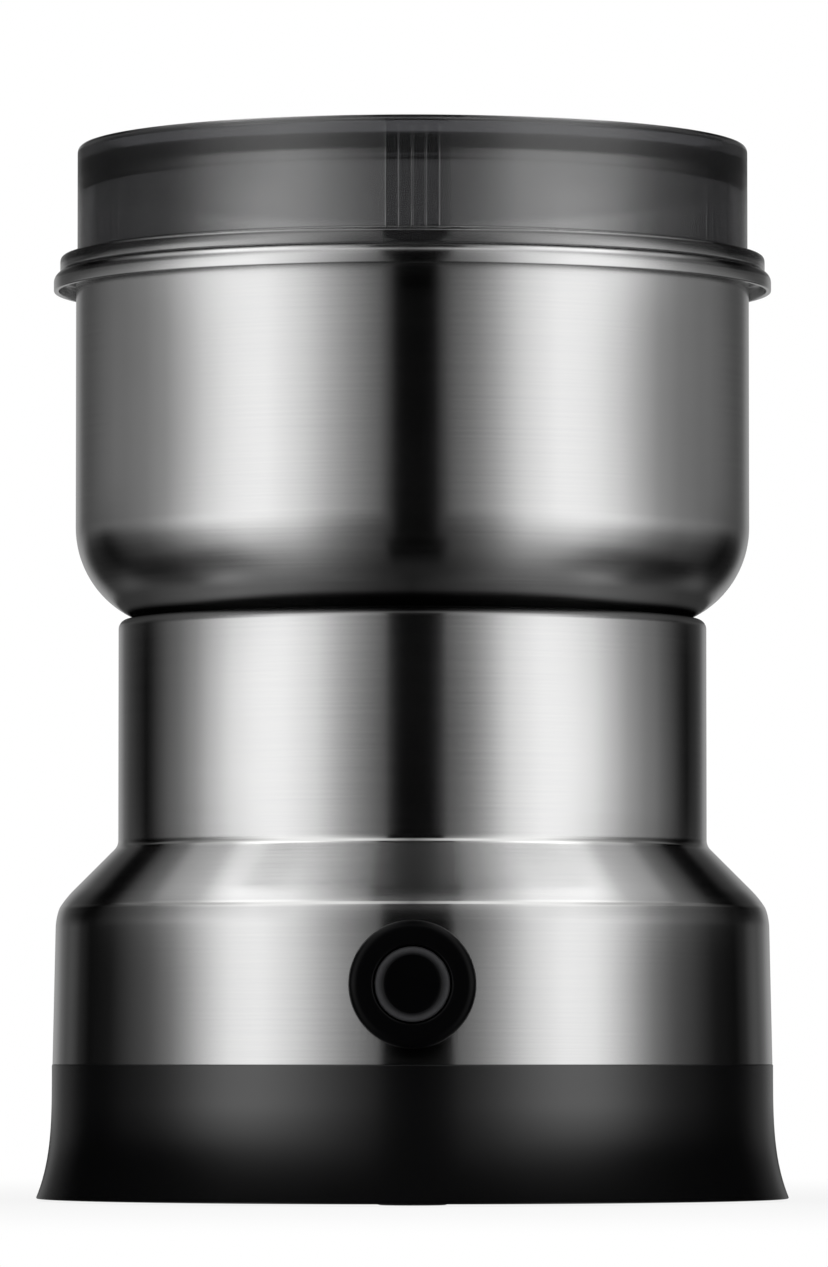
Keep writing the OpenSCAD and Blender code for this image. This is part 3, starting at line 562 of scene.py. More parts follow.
ring_front = outline(
    softened((CAP_BORE, BORE_TOP), (CAP_BORE, 0, 0.35), (BEZEL_R - BEZEL_ROUND, 0)),
    arc(BEZEL_R - BEZEL_ROUND, BEZEL_ROUND, BEZEL_ROUND, -90, 0, 10),
)
saddle_r = np.linspace(BEZEL_R, BARREL_R, 6)[:, None]
saddle = round_axis(saddle_r, round_button, casing_depth(saddle_r, round_button)) * MM
back_r, back_z = BARREL_R - BACK_WALL, barrel_end - BACK_T
barrel = outline([
    (BARREL_R, barrel_end), (back_r, barrel_end), (back_r, back_z), (BRIDGE_BORE, back_z),
    (BRIDGE_BORE, SHOULDER_T1), (STEM_BORE, SHOULDER_T1), (STEM_BORE, SHOULDER_T0), (CAP_BORE, SHOULDER_T0)])
ring_grid = np.concatenate((turned(ring_front, round_button), saddle, turned(barrel, round_button)))
piece("button_bezel", "housing", "gloss_black", [along_button(ring_grid)])

# %% Cap of the button
CAP_R = 5.75
CAP_SINK = 0.25
CAP_DISH, DISH_R, DISH_RISE = 0.35, 4.3, 0.35
BEAD_R, BEAD_H = 4.85, 2.0
CAP_SIDE = 1.15
CAP_WALL = 2.2
CAP_SKIRT = 3.6
STEM_R = 2.3
cap_end = box_mm("button_cap")[1][1] + bezel_front
cap_skirt = SHOULDER_T0 - CAP_SKIRT
dish_r = np.linspace(0, DISH_R, 10)
dish = np.column_stack((dish_r, CAP_SINK + CAP_DISH * (1 - DISH_RISE * (dish_r / DISH_R) ** 2)))
cap_profile = outline(
    dish,
    softened(dish[-1], (BEAD_R, CAP_SINK, 0.4), (CAP_R, CAP_SINK, 0.75), (CAP_R, CAP_SINK + BEAD_H), count=10),
    [(CAP_R, cap_skirt), (CAP_R - CAP_SIDE, cap_skirt), (CAP_R - CAP_SIDE, CAP_WALL), (STEM_R, CAP_WALL),
     (STEM_R, cap_end), (0, cap_end)],
)
cap = piece("button_cap", "button", "gloss_black", [along_button(turned(cap_profile, round_button))], loop=False)

# %% [markdown]
# ## The spring behind the cap
# A small coil of steel wire pushes the cap out again. It sits on the ring's shoulder and shortens by the
# cap's travel, which no rigid piece can do, so it is a wire carried along a helix. The first and last turn
# lie close, as on a spring that is ground flat.

# %% Spring of the button
WIRE_R = 0.35
COIL_TURNS = 6
COIL_PLAY = 0.1
spring_low, spring_high = box_mm("button_spring")
spring_l = spring_high[1] - spring_low[1]
coil_r = spring_high[0] - WIRE_R - COIL_PLAY
coil_run = spring_l - 2 * WIRE_R
coil_turn = np.linspace(0, COIL_TURNS, 48 * COIL_TURNS + 1)
coil_y = spring_low[1] + WIRE_R + np.interp(
    coil_turn, [0, 1, COIL_TURNS - 1, COIL_TURNS], [0, 2 * WIRE_R, coil_run - 2 * WIRE_R, coil_run])


def wire_along(turns, y, radius, wire_r):
    """Wire on a helix: (r cos a, y, r sin a) + wire_r (cos v out + sin v along), with a pole at each end."""
    a, v = 2 * np.pi * turns[:, None], full_turn(12)
    thick = np.where((turns == turns[0]) | (turns == turns[-1]), 0, wire_r)[:, None]
    out = radius + thick * np.cos(v)
    return np.stack((out * np.cos(a), y[:, None] + thick * np.sin(v), button_z + out * np.sin(a)), axis=-1)


spring = piece("button_spring", "housing", "spring_steel",
               [wire_along(coil_turn, coil_y, coil_r, WIRE_R) * MM], loop=False)
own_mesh(spring)

# %% [markdown]
# ## Blade, nut and seal
# The blade is stamped from thin stainless sheet: four leaves on one hub, two bent up and two bent down,
# each tip ground to an edge on one side. Seen from the middle its outline is a radius for every angle, so
# the blade is a polar grid whose outer row follows that outline and whose tips are then bent.

# %% Blade
BLADE_T = 1.2
BLADE_HALF_W = 5.9
BLADE_HUB = 11.485
BLADE_LENGTH = 38.0
FOLD_X = 26.0
FOLD_L = 2.0
BLADE_BEND = np.radians(24.0)
GRIND_W, GRIND_SLOPE = 2.5, np.tan(np.radians(18.0))
SHAFT_HOLE = 3.02
washer_low, washer_high = box_mm("blade_washer")
blade_top = washer_low[2]
tip_r = BLADE_LENGTH - FOLD_X
# The columns lie closest at the tip, where the outline turns fastest.
sweep = np.radians(np.concatenate((
    np.linspace(-45, -12, 18), np.linspace(-11.5, 11.5, 70), np.linspace(12, 44, 17))))
side = BLADE_HALF_W / np.maximum(np.abs(np.sin(sweep)), SAME)
tip = FOLD_X * np.cos(sweep) + np.sqrt(np.maximum(tip_r**2 - (FOLD_X * np.sin(sweep)) ** 2, 0))
reach = np.maximum(np.minimum(side, tip), BLADE_HUB)
leaf_r = SHAFT_HOLE + (reach - SHAFT_HOLE) * np.linspace(0, 1, 40)[:, None]
leaf_x, leaf_y = leaf_r * np.cos(sweep), leaf_r * np.sin(sweep)


def bent(x, bend):
    """Bends a flat leaf: past the fold the slope grows evenly to bend over FOLD_L, then stays."""
    past = np.clip(x - FOLD_X, 0, None)
    turning = np.minimum(past, FOLD_L)
    straight = past - turning
    angle = bend * turning / FOLD_L
    along = FOLD_L / bend * np.sin(angle) + straight * np.cos(bend)
    up = FOLD_L / bend * (1 - np.cos(angle)) + straight * np.sin(bend)
    return np.minimum(x, FOLD_X) + along, up


def leaf(turn, bend):
    """One quarter of the blade: its lower face from hub to edge, then its upper face back to the hub."""
    x, up = bent(leaf_x, bend)
    grind = np.clip(leaf_y - BLADE_HALF_W + GRIND_W, 0, None) * GRIND_SLOPE
    grind *= np.clip((leaf_x - FOLD_X) / FOLD_L, 0, 1)
    low = np.stack((x, leaf_y, up + blade_top - BLADE_T), axis=-1)
    high = np.stack((x, leaf_y, up + blade_top - grind), axis=-1)
    both = np.concatenate((low, high[::-1]))
    both[..., :2] = turned_by(both[..., :2], turn)
    return both * MM


quarters = [leaf(np.pi / 4 + k * np.pi / 2, BLADE_BEND * (-1) ** (k + 1)) for k in range(4)]
blade = piece("blade", "rotor", "brushed_stainless", [np.concatenate(quarters, axis=1)], sharp=25.0)

# %% Blade nut
NUT_ACROSS = 5.02
NUT_CORNER, NUT_FACE = 5.8, 5.2
NUT_H, NUT_CHAMFER = 4.0, 0.4
DOME_R, DOME_TOP = 4.6, 3.4
nut_low, nut_high = box_mm("blade_nut")
nut_top = nut_high[2] - nut_low[2]
hex_angles = full_turn(144)
hex_r = NUT_ACROSS / np.cos(np.mod(hex_angles, np.pi / 3) - np.pi / 6)
nut_rows = np.vstack([
    [(0, NUT_H), (SHAFT_HOLE, NUT_H), (SHAFT_HOLE, 0), (NUT_FACE, 0), (NUT_CORNER, NUT_CHAMFER),
     (NUT_CORNER, NUT_H - NUT_CHAMFER)],
    softened((NUT_FACE, NUT_H), (DOME_R, NUT_H, 0.1), (DOME_TOP, nut_top, 1.6), (0, nut_top)),
])
nut_grid = round_axis(np.minimum(nut_rows[:, :1], hex_r), hex_angles, nut_rows[:, 1:] + nut_low[2]) * MM
piece("blade_nut", "rotor", "zinc_steel", [nut_grid], loop=False, sharp=20.0)

# %% Washer, bush and seal under the blade
WASHER_R = 6.5
BUSH_FOOT, BUSH_TOP, BUSH_BORE = 7.5, 8.5, 4.02
SEAL_LIP, SEAL_TOP, SEAL_NECK, SEAL_BODY, SEAL_BORE = 11.0, 9.8, 8.98, 9.98, 4.05
bush_low, bush_high = box_mm("blade_bush")
seal_low, seal_high = box_mm("shaft_seal")
(washer_z0, washer_z1), (bush_z0, bush_z1), (seal_z0, seal_z1) = (
    (low[2], high[2]) for low, high in ((washer_low, washer_high), (bush_low, bush_high), (seal_low, seal_high)))
bored = {
    # node: its body, its slot, and points from its bore's foot round to its bore's top
    "blade_washer": ("rotor", "zinc_steel", [
        (SHAFT_HOLE, washer_z0 + 0.4), (SHAFT_HOLE, washer_z0, 0.1), (WASHER_R, washer_z0, 0.15),
        (WASHER_R, washer_z1, 0.25), (SHAFT_HOLE, washer_z1, 0.15), (SHAFT_HOLE, washer_z0 + 0.5)]),
    "blade_bush": ("rotor", "nylon_black", [
        (BUSH_BORE, bush_z0 + 2), (BUSH_BORE, bush_z0, 0.3), (BUSH_FOOT, bush_z0, 0.8), (BUSH_TOP, bush_z1, 0.3),
        (BUSH_BORE, bush_z1, 0.2), (BUSH_BORE, bush_z0 + 3)]),
    "shaft_seal": ("housing", "black_rubber", [
        (SEAL_BORE, seal_z0 + 2), (SEAL_BORE, seal_z0, 0.2), (SEAL_BODY, seal_z0, 0.3),
        (SEAL_BODY, bowl_low[2], 0.05), (SEAL_NECK, bowl_low[2], 0.05), (SEAL_NECK, floor_z, 0.05),
        (SEAL_LIP, floor_z, 0.3), (SEAL_TOP, seal_z1, 1.0), (SEAL_BORE, seal_z1, 0.4), (SEAL_BORE, seal_z0 + 3)]),
}
for name, (body, slot, corners) in bored.items():
    piece(name, body, slot, [turned(outline(softened(*corners)), full_turn(96))])

# %% [markdown]
# ## Finishes
# A finish starts from the real material and how its surface was made. Every one is a small node tree on a
# Principled shader. One helper adds a node, sets it up and links it, and one function turns a colour that
# is written as on a screen (sRGB) into the linear light that Blender reckons with.

# %% Node helper and colours
def linear(colour):
    """sRGB hex to linear light: c / 12.92 up to 0.04045, and ((c + 0.055) / 1.055)^2.4 above it."""
    c = np.array([int(colour[k:k + 2], 16) for k in (1, 3, 5)]) / 255
    return (*np.where(c <= 0.04045, c / 12.92, ((c + 0.055) / 1.055) ** 2.4), 1.0)


def node(tree, kind, inputs=None, out=0, **settings):
    """Adds one node: settings are its properties, inputs give sockets a value or a link; returns output out."""
    made = tree.nodes.new("ShaderNode" + kind)
    for name, value in settings.items():
        setattr(made, name, value)
    for name, value in (inputs or {}).items():
        if isinstance(value, bpy.types.NodeSocket):
            tree.links.new(value, made.inputs[name])
        else:
            made.inputs[name].default_value = value
    return made.outputs[out] if made.outputs else made


def finish_tree(name):
    """An empty material, its node tree, and the piece's own coordinates in it."""
    made = bpy.data.materials.new(name)
    made.use_nodes = True
    made.node_tree.nodes.clear()
    return made, made.node_tree, node(made.node_tree, "TexCoord", out="Object")


def skin(tree, share, tones, rough, more, bump=None):
    """Principled surface: its tone goes from the first to the second as share grows, its roughness is low + span
    times share, bump is (height, strength, mm), and more sets other sockets."""
    dark, light = (linear(tone) for tone in tones)
    low, span = rough
    sockets = {
        "Base Color": node(tree, "Mix", {0: share, 6: dark, 7: light}, out=2, data_type="RGBA"),
        "Roughness": node(tree, "Math", {0: share, 1: span, 2: low}, operation="MULTIPLY_ADD")}
    if bump:
        height, strength, depth = bump
        sockets["Normal"] = node(tree, "Bump", {"Strength": strength, "Distance": depth * MM, "Height": height})
    node(tree, "OutputMaterial", {"Surface": node(tree, "BsdfPrincipled", sockets | more)})


finishes = {}
print("black at", linear("#151617")[0].round(4))

# %% [markdown]
# ## Brushed stainless steel
# The bowl and the casing are turned against an abrasive belt, so fine scratches run round the axis. Each
# scratch spreads a highlight across itself, up and down, which an anisotropic metal does by its tangent.
# A picture of scratches would do too, but lines from noise that is stretched round the piece never repeat.

# %% Brushed stainless finish
# Real brush lines are near 0.05 mm apart; they are drawn at 0.4 mm, or none would show in the render.
BRUSH_PITCH = 0.4 * MM
BRUSH_RUN = 40 * MM
HAZE_SIZE = 25 * MM
CREASE_HIGHLIGHTS = ((crease[1], 0.7), (neck_foot[1], 0.9))  # height and half width of the folds, polished by the tool and painted a lighter tone as a highlight line
HIGHLIGHT_CORE = 0.2
steel, tree, spot = finish_tree("brushed_stainless_steel")
run = node(tree, "UVMap", uv_map="along")
rise = node(tree, "Math", {0: node(tree, "SeparateXYZ", {0: run}, out="Y"), 1: 1 / BRUSH_PITCH},
            operation="MULTIPLY")
place = node(tree, "VectorMath", {
    0: spot, 1: (1 / BRUSH_RUN, 1 / BRUSH_RUN, 0), 2: node(tree, "CombineXYZ", {"Z": rise})},
    operation="MULTIPLY_ADD")
scratch = node(tree, "TexNoise", {"Vector": place, "Scale": 1.0, "Detail": 4.0, "Roughness": 0.65})
haze = node(tree, "TexNoise", {"Vector": spot, "Scale": 1 / HAZE_SIZE, "Detail": 2.0})
tone = node(tree, "Mix", {0: scratch, 6: linear("#c9c9ca"), 7: linear("#dcdcdb")}, out=2, data_type="RGBA")
grain = node(tree, "Math", {0: scratch, 1: 0.08, 2: 0.13}, operation="MULTIPLY_ADD")
brushed = node(tree, "Math", {0: haze, 1: 0.05, 2: grain}, operation="MULTIPLY_ADD")
height = node(tree, "SeparateXYZ", {0: spot}, out="Z")
# Masks of the folds: less rough there from the tool's polish, and painted lighter as a highlight.
polish = []
for middle, width in CREASE_HIGHLIGHTS:
    off = node(tree, "Math", {0: height, 1: middle * MM}, operation="SUBTRACT")
    away = node(tree, "Math", {0: off}, operation="ABSOLUTE")
    polish.append(node(tree, "MapRange", {
        "Value": away, "From Min": HIGHLIGHT_CORE * width * MM, "From Max": width * MM, "To Min": 1.0, "To Max": 0.0},
        interpolation_type="SMOOTHSTEP"))
crease_polish_and_highlight = node(tree, "Math", {0: polish[0], 1: polish[1]}, operation="MAXIMUM")
# Painted highlight: along the folds the steel takes a lighter tone, which draws a bright line; the lower roughness
# below is the tool's polish.
tone = node(tree, "Mix", {0: crease_polish_and_highlight, 6: tone, 7: linear("#e6e6e5")}, out=2, data_type="RGBA")
rough = node(tree, "Math", {0: crease_polish_and_highlight, 1: -0.09, 2: brushed}, operation="MULTIPLY_ADD")
bump = node(tree, "Bump", {"Strength": 0.12, "Distance": 0.01 * MM, "Height": scratch})
metal = node(tree, "BsdfPrincipled", {
    "Base Color": tone, "Metallic": 1.0, "Roughness": rough, "Anisotropic": 0.95, "Anisotropic Rotation": 0.25,
    "Tangent": node(tree, "Tangent", direction_type="RADIAL", axis="Z"), "Normal": bump})
node(tree, "OutputMaterial", {"Surface": metal})
finishes["brushed_stainless"] = steel
print("brush lines every", BRUSH_PITCH / MM, "mm")

# %% [markdown]
# ## Smoke-tinted lid
# The lid is moulded in clear plastic with a smoke tint, and the tint is strongest in the skin on its inside.
# Painting the whole surface grey would hide that both faces of the wall reflect. So the outside is clear,
# the inside lets little through, and the plastic between them absorbs along the light's way, which makes
# the edge of the panel the darkest band. A hard coat gives the wall its strong sheen, and thins out above it.

# %% Smoke-tinted plastic finish
# Styrene-acrylonitrile, IOR 1.57, polished mould; light through a face goes by the root of its colour. A
# trace of haze, the part that isn't transmitted, keeps the deepest band from going black.
FLOW_SIZE = 9 * MM
COAT_ABOVE, COAT_FADE = 0.25, 0.6
smoke, tree, spot = finish_tree("smoke_tinted_san_plastic")
flow = node(tree, "TexNoise", {"Vector": spot, "Scale": 1 / FLOW_SIZE, "Detail": 3.0})
polish = node(tree, "Math", {0: flow, 1: 0.04, 2: 0.02}, operation="MULTIPLY_ADD")
ripple = node(tree, "Bump", {"Strength": 0.1, "Distance": 0.03 * MM, "Height": flow})
skin_side = node(tree, "Attribute", out="Fac", attribute_name="inside")
tint = node(tree, "Mix", {0: skin_side, 6: linear("#e9e9eb"), 7: linear("#343538")}, out=2, data_type="RGBA")
height = node(tree, "SeparateXYZ", {0: spot}, out="Z")
coated = node(tree, "MapRange", {
    "Value": height, "From Min": panel_low * MM, "From Max": (panel_low + COAT_FADE) * MM, "To Min": 1.0,
    "To Max": COAT_ABOVE})
clear = node(tree, "BsdfPrincipled", {
    "Base Color": tint, "Roughness": polish, "IOR": 1.57, "Transmission Weight": 0.975,
    "Coat Weight": coated, "Coat Roughness": 0.09, "Coat IOR": 2.5, "Normal": ripple})
dye = node(tree, "VolumeAbsorption", {"Color": linear("#3a3b3f"), "Density": 380.0})
node(tree, "OutputMaterial", {"Surface": clear, "Volume": dye})
finishes["smoke_plastic"] = smoke
print("lid dyed through")

# %% [markdown]
# ## Black mouldings
# The base is satin black ABS from a mould with a fine spark-eroded texture, and the button comes from a
# polished mould. Both are black, so nearly all that shows is the light they throw back: the texture's
# grain and the polish do the work, and the colour only shifts a little.

# %% Black plastics and rubber
# Mould texture is near 0.1 mm; it is drawn at 0.3 mm so that a trace of it shows.
ABS_IOR = 1.54
CLOUD_SIZE = 18 * MM
BLACKS = [
    # slot, name, dark, light, grain mm, roughness low and span, bump mm, specular level
    ("black_abs", "satin_black_abs", "#050506", "#09090a", 0.3, 0.20, 0.06, 0.004, 0.9),
    ("gloss_black", "polished_black_abs", "#040405", "#070708", 6.0, 0.24, 0.08, 0.010, 0.08),
    ("nylon_black", "moulded_black_nylon", "#1e1e20", "#262628", 0.8, 0.42, 0.14, 0.015, 0.5),
    ("black_rubber", "moulded_black_rubber", "#18181a", "#222224", 0.5, 0.62, 0.16, 0.030, 0.4),
    ("carbon", "pressed_carbon", "#1b1b1c", "#343436", 0.25, 0.50, 0.25, 0.020, 0.5),
]
for slot, name, dark, light, grain_mm, low, span, bump_mm, level in BLACKS:
    finishes[slot], tree, spot = finish_tree(name)
    grain = node(tree, "TexNoise", {"Vector": spot, "Scale": 1 / (grain_mm * MM), "Detail": 3.0})
    cloud = node(tree, "TexNoise", {"Vector": spot, "Scale": 1 / CLOUD_SIZE, "Detail": 2.0})
    skin(tree, cloud, (dark, light), (low, span), {"IOR": ABS_IOR, "Specular IOR Level": level},
         bump=(grain, 0.35, bump_mm))
print("black finishes:", [row[1] for row in BLACKS])

# %% Cap of the button, with a painted highlight along its rim
# The rim of the cap is painted a lighter grey as a highlight, in a band that fades inwards from the edge.
RIM_HIGHLIGHT_W = 1.45
HIGHLIGHT_EVEN = 0.25  # share of the band, at the edge, that is painted evenly lighter
SPECK_SIZE = 0.5 * MM
rim_highlighted, tree, spot = finish_tree("polished_black_abs_rubbed")
off_axis = node(tree, "VectorMath", {0: spot, 1: (1, 0, 1), 2: (0, 0, -button_z * MM)},
                operation="MULTIPLY_ADD")
reach_out = node(tree, "VectorMath", {0: off_axis}, out="Value", operation="LENGTH")
# Painted highlight band: full at the rim and fading inwards, broken up a little by speckles.
rim_band = node(tree, "MapRange", {
    "Value": reach_out, "From Min": (CAP_R - RIM_HIGHLIGHT_W) * MM, "From Max": (CAP_R - HIGHLIGHT_EVEN * RIM_HIGHLIGHT_W) * MM},
    interpolation_type="SMOOTHSTEP")
specks = node(tree, "TexNoise", {"Vector": spot, "Scale": 1 / SPECK_SIZE, "Detail": 3.0})
highlight_speckle = node(tree, "Math", {0: specks, 1: 0.5, 2: 0.75}, operation="MULTIPLY_ADD")
rim_highlight_share = node(tree, "Math", {0: rim_band, 1: highlight_speckle}, operation="MULTIPLY", use_clamp=True)
skin(tree, rim_highlight_share, ("#060607", "#49494b"), (0.2, 0.25), {"IOR": ABS_IOR, "Specular IOR Level": 0.1})
print("cap rubbed over", RIM_HIGHLIGHT_W, "mm")

# %% [markdown]
# ## Metals of the works
# Inside are plated fasteners, castings, a stack of varnished laminations, copper, brass and bronze. They
# show only through the slots and the open bowl, but a lifted part shows them whole. One tree serves them
# all: a grain or a set of lines at the size the metal has, in two tones of its colour.

# %% Works metals
# kind "lines" are layers or strands at a pitch along an axis, "grain" is a crystal or cast texture.
WAVE = 2 * np.pi / 20  # length of one band of a Wave texture at scale 1
METALS = [
    # slot, name, dark, light, kind, pitch mm, axis, metallic, roughness low and span, bump mm
    ("zinc_steel", "zinc_plated_steel", "#a9adb2", "#c6c7c3", "grain", 1.6, "Z", 1.0, 0.24, 0.16, 0.01),
    ("die_cast", "die_cast_aluminium", "#9b9c9f", "#b3b4b6", "grain", 0.7, "Z", 1.0, 0.44, 0.16, 0.04),
    ("lamination_steel", "varnished_laminations", "#35322f", "#5d5a57", "lines", 0.5, "Z", 0.7, 0.4, 0.2, 0.06),
    ("copper_wire", "enamelled_copper_wire", "#7a3a1c", "#c06c3a", "lines", 0.45, "X", 0.9, 0.26, 0.14, 0.12),
    ("brass", "rolled_brass", "#b3904a", "#cfae66", "lines", 0.4, "Y", 1.0, 0.26, 0.12, 0.008),
    ("sintered_bronze", "oiled_sintered_bronze", "#7d6136", "#a6844e", "grain", 0.2, "Z", 1.0, 0.38, 0.2, 0.03),
    ("spring_steel", "drawn_spring_steel", "#8f9092", "#acadae", "lines", 0.3, "Z", 1.0, 0.24, 0.12, 0.008),
]
for slot, name, dark, light, kind, pitch, axis, metallic, low, span, bump_mm in METALS:
    finishes[slot], tree, spot = finish_tree(name)
    if kind == "lines":
        pattern = node(tree, "TexWave", {
            "Vector": spot, "Scale": WAVE / (pitch * MM), "Distortion": 0.4, "Detail": 1.0},
            out="Fac", bands_direction=axis)
    else:
        pattern = node(tree, "TexVoronoi", {"Vector": spot, "Scale": 1 / (pitch * MM)}, out="Distance")
    skin(tree, pattern, (dark, light), (low, span), {"Metallic": metallic}, bump=(pattern, 0.4, bump_mm))
print("metal finishes:", [row[1] for row in METALS])

# %% [markdown]
# ## The ground blade
# The blade is the same stainless, but stamped and then ground along each leaf, so its lines do not run
# round the shaft. Its pattern is noise in the sheet's own plane, much finer across the leaf than along it.

# %% Ground blade finish
GRIND_LINES = (12 * MM, 0.35 * MM, 3 * MM)  # length, spacing and depth of the grinding marks
ground, tree, spot = finish_tree("ground_stainless_blade")
lines = node(tree, "Mapping", {
    "Vector": spot, "Rotation": (0, 0, np.pi / 4), "Scale": [1 / size for size in GRIND_LINES]})
grind = node(tree, "TexNoise", {"Vector": lines, "Scale": 1.0, "Detail": 3.0})
skin(tree, grind, ("#b4b5b6", "#d2d2d2"), (0.16, 0.14), {"Metallic": 1.0}, bump=(grind, 0.2, 0.01))
print("blade finish:", ground.name)

# %% Each piece gets its finish
slot_of = {part["node"]: part["material_slot"] for part in frame["record"]["subparts"]}
for made, slot in pieces:
    made.data.materials.append(finishes[slot])
blade.data.materials[0] = ground
cap.data.materials[0] = rim_highlighted
for name, cad in frame["nodes"].items():
    for place in cad.material_slots:
        place.material = finishes[slot_of[name]]
print("dressed", len(pieces), "pieces and", len(frame["nodes"]), "nodes")

# %% [markdown]
# ## A tent of light
# Steel shows its surroundings, so the photographer's light matters more than the metal's colour. A tent
# of white cloth stands round the grinder: two wide bright panels left and right of the camera, fading
# towards the middle, where a dark gap leaves the black line down the steel. Area lamps could stand in for
# the panels, but a tent whose glow is stored at its points gives their soft fall-off in one sheet.

# %% Light tent
# A wall that faces the angle f away from the camera shows it the tent's glow for f. One row is for upright
# walls, one for the bend over them, one for walls that lean back as the creases do, and one for the cone.
# A wall that leans shows the tent at twice its lean, so the leans here are doubled. The levels, here and in
# the gauze below, were worked out from how bright the steel is in the photograph, then corrected by renders.
TENT_R = 3.0
WALL = (
    [0, 3.8, 7.25, 10.5, 14, 17.5, 21.5, 25, 28.5, 32.5, 37, 41.5, 46, 51, 57, 61, 64, 67, 73, 80, 90],
    [.083, .1, .21, .36, .6, .92, 1.23, 1.46, 1.58, 1.68, 1.61, 1.22, .77, .49, .38, .37, .34, .28, .13, .3, .5])
BEND = (
    [0, 3, 10, 18, 26, 30, 36, 41, 46, 51, 56, 62, 68, 75, 90],
    [.05, .1, .5, .96, 1.18, 1.05, .64, .3, .14, .09, .05, .02, .06, .1, .3])
CREASE = [0, 4, 10, 18, 26, 35.5, 46, 60, 90], [.27, .5, .9, 1.0, 1.1, .75, .22, .1, .1]
CONE = (
    [0, 5.8, 11.8, 20, 30, 33, 37, 41, 45.4, 48, 50, 53, 57, 63, 67, 74, 90],
    [.03, .12, .52, 1.38, 1.62, 1.32, .68, .54, .42, .2, .15, .09, 0, 0, .06, .08, .05])
BEND_LEAN, BEND_BLEND = (3, 10), (5, 17)
CREASE_LEAN, CREASE_END, CONE_LEAN = (40, 46), (66, 62), (62, 67)
# Edge of the dark gap on walls, and how far it moves on the bend and on the cone.
GAP_LEFT, GAP_RIGHT = (-2.7, -1.6, -3.4), (3.7, 1.8, 3.8)
SOFT_LEFT, SOFT_RIGHT = 0.9, 1.0
RIGHT_DIM, RIGHT_FROM, RIGHT_TO = 0.28, (3, 4), (20, 8)
# Walls that lean down see less of the tent: share by lean, then by facing, and the least glow.
DOWN = (
    [-8, 0, 10, 20, 33, 44, 55, 66, 78, 95, 120, 135, 155, 180],
    [1.08, .95, .76, .59, .43, .3, .21, .15, .135, .12, .11, .1, .03, 0])
UNDER = [20, 29, 34, 39, 45, 52, 59, 70], [1, .85, .6, .44, .36, .34, .42, .46]
UNDER_LEAN, UNDER_END = (0, -11), (-66, -52)
LOW_GAIN, LOW_LEAN, LOW_FACING = 2.2, (-42, -64), (28, 45)
LEAST, LEAST_LEAN = 0.02, (0, -66)
BACK_GLOW, BACK_WAY = 0.36, (.88, .995)
tent_rise = np.radians(np.linspace(-90, 90, 181))[:, None]
tent_way = round_axis(np.cos(tent_rise), ROUND - np.pi / 2, np.sin(tent_rise))


def step_up(span, value):
    """Smooth step: 3t^2 - 2t^3 for t from 0 at the span's start to 1 at its end."""
    t = np.clip((value - span[0]) / (span[1] - span[0]), 0, 1)
    return t * t * (3 - 2 * t)


# A mirror turns the camera's way d = (0, 1, 0) into the way r if its normal lies along r - d.
normal_x, normal_y, normal_z = np.moveaxis(tent_way - (0, 1, 0), -1, 0)
facing = np.degrees(np.arctan2(normal_x, -normal_y))
aside = np.abs(facing)
lean = 2 * np.degrees(np.arctan2(normal_z, np.hypot(normal_x, normal_y)))
on_crease = step_up(CREASE_LEAN, lean) * step_up(CREASE_END, lean)
on_cone = step_up(CONE_LEAN, lean)
on_bend = step_up(BEND_LEAN, lean) - on_cone
left, right = (edge + bend * on_bend + cone * on_cone for edge, bend, cone in (GAP_LEFT, GAP_RIGHT))
gap = 1 - step_up((left - SOFT_LEFT, left), facing) * step_up((right + SOFT_RIGHT, right), facing)
gap *= 1 - RIGHT_DIM * step_up(RIGHT_FROM, facing) * step_up(RIGHT_TO, facing)
wall_glow, bend_glow, crease_glow, cone_glow = (np.interp(aside, *row) for row in (WALL, BEND, CREASE, CONE))
under = step_up(UNDER_LEAN, lean) * step_up(UNDER_END, lean)
wall_glow *= np.interp(-lean, *DOWN) * (1 - under * (1 - np.interp(aside, *UNDER)))
wall_glow *= 1 + LOW_GAIN * step_up(LOW_LEAN, lean) * step_up(LOW_FACING, aside)
wall_glow += step_up(BEND_BLEND, lean) * (bend_glow - wall_glow)
glow = ((1 - on_crease - on_cone) * wall_glow + on_cone * cone_glow) * gap + on_crease * crease_glow
glow = np.maximum(glow, LEAST * step_up(LEAST_LEAN, lean))
# All facings meet behind the object, so the tent is even there.
glow += step_up(BACK_WAY, tent_way[..., 1]) * (BACK_GLOW - glow)
print("tent glows up to", glow.max().round(2))

# %% Cloth of the tent
def stored(mesh, **levels):
    """Stores one level per point of a mesh under each name."""
    for name, values in levels.items():
        layer = mesh.attributes.new(name, "FLOAT", "POINT")
        layer.data.foreach_set("value", values.astype(np.float32).ravel())


def staged(name, mesh, cloth, *unseen_by):
    """Puts a stage object into the scene, hidden from these kinds of ray."""
    made = placed(name, mesh)
    mesh.materials.append(cloth)
    for ray in unseen_by:
        setattr(made, "visible_" + ray, False)


cloth, tree, _ = finish_tree("tent_cloth")
shine = node(tree, "Attribute", out="Fac", attribute_name="glow")
node(tree, "OutputMaterial", {"Surface": node(tree, "Emission", {"Strength": shine})})
tent_mesh = mesh_of("light_tent", [tent_way * TENT_R], loop=False)
stored(tent_mesh, glow=glow)
staged("light_tent", tent_mesh, cloth, "camera", "transmission", "shadow")
print("tent of", len(tent_mesh.polygons), "faces")

# %% [markdown]
# ## Black flags
# Dark bands near the edges keep bright steel from melting into a white background. A photographer gets
# them with black flags that stand close round the object, just out of sight. These are thin curved sheets
# of gauze, densest where the bands are darkest: a tall one round the front, a low one round the lid, a ring
# under the bowl and a collar round the foot. The ring's upper side is a faintly lit card, which lifts the
# bowl's rounded underside. Only reflections can see them.

# %% Gauze sheets round the object
FLAG_R, LID_FLAG_R = 0.13, 0.075
FLAG_TURN, FLAG_FOOT, FLAG_HEAD, FLAG_TOP = 142, (-.03, -.02), (.145, .139), .146
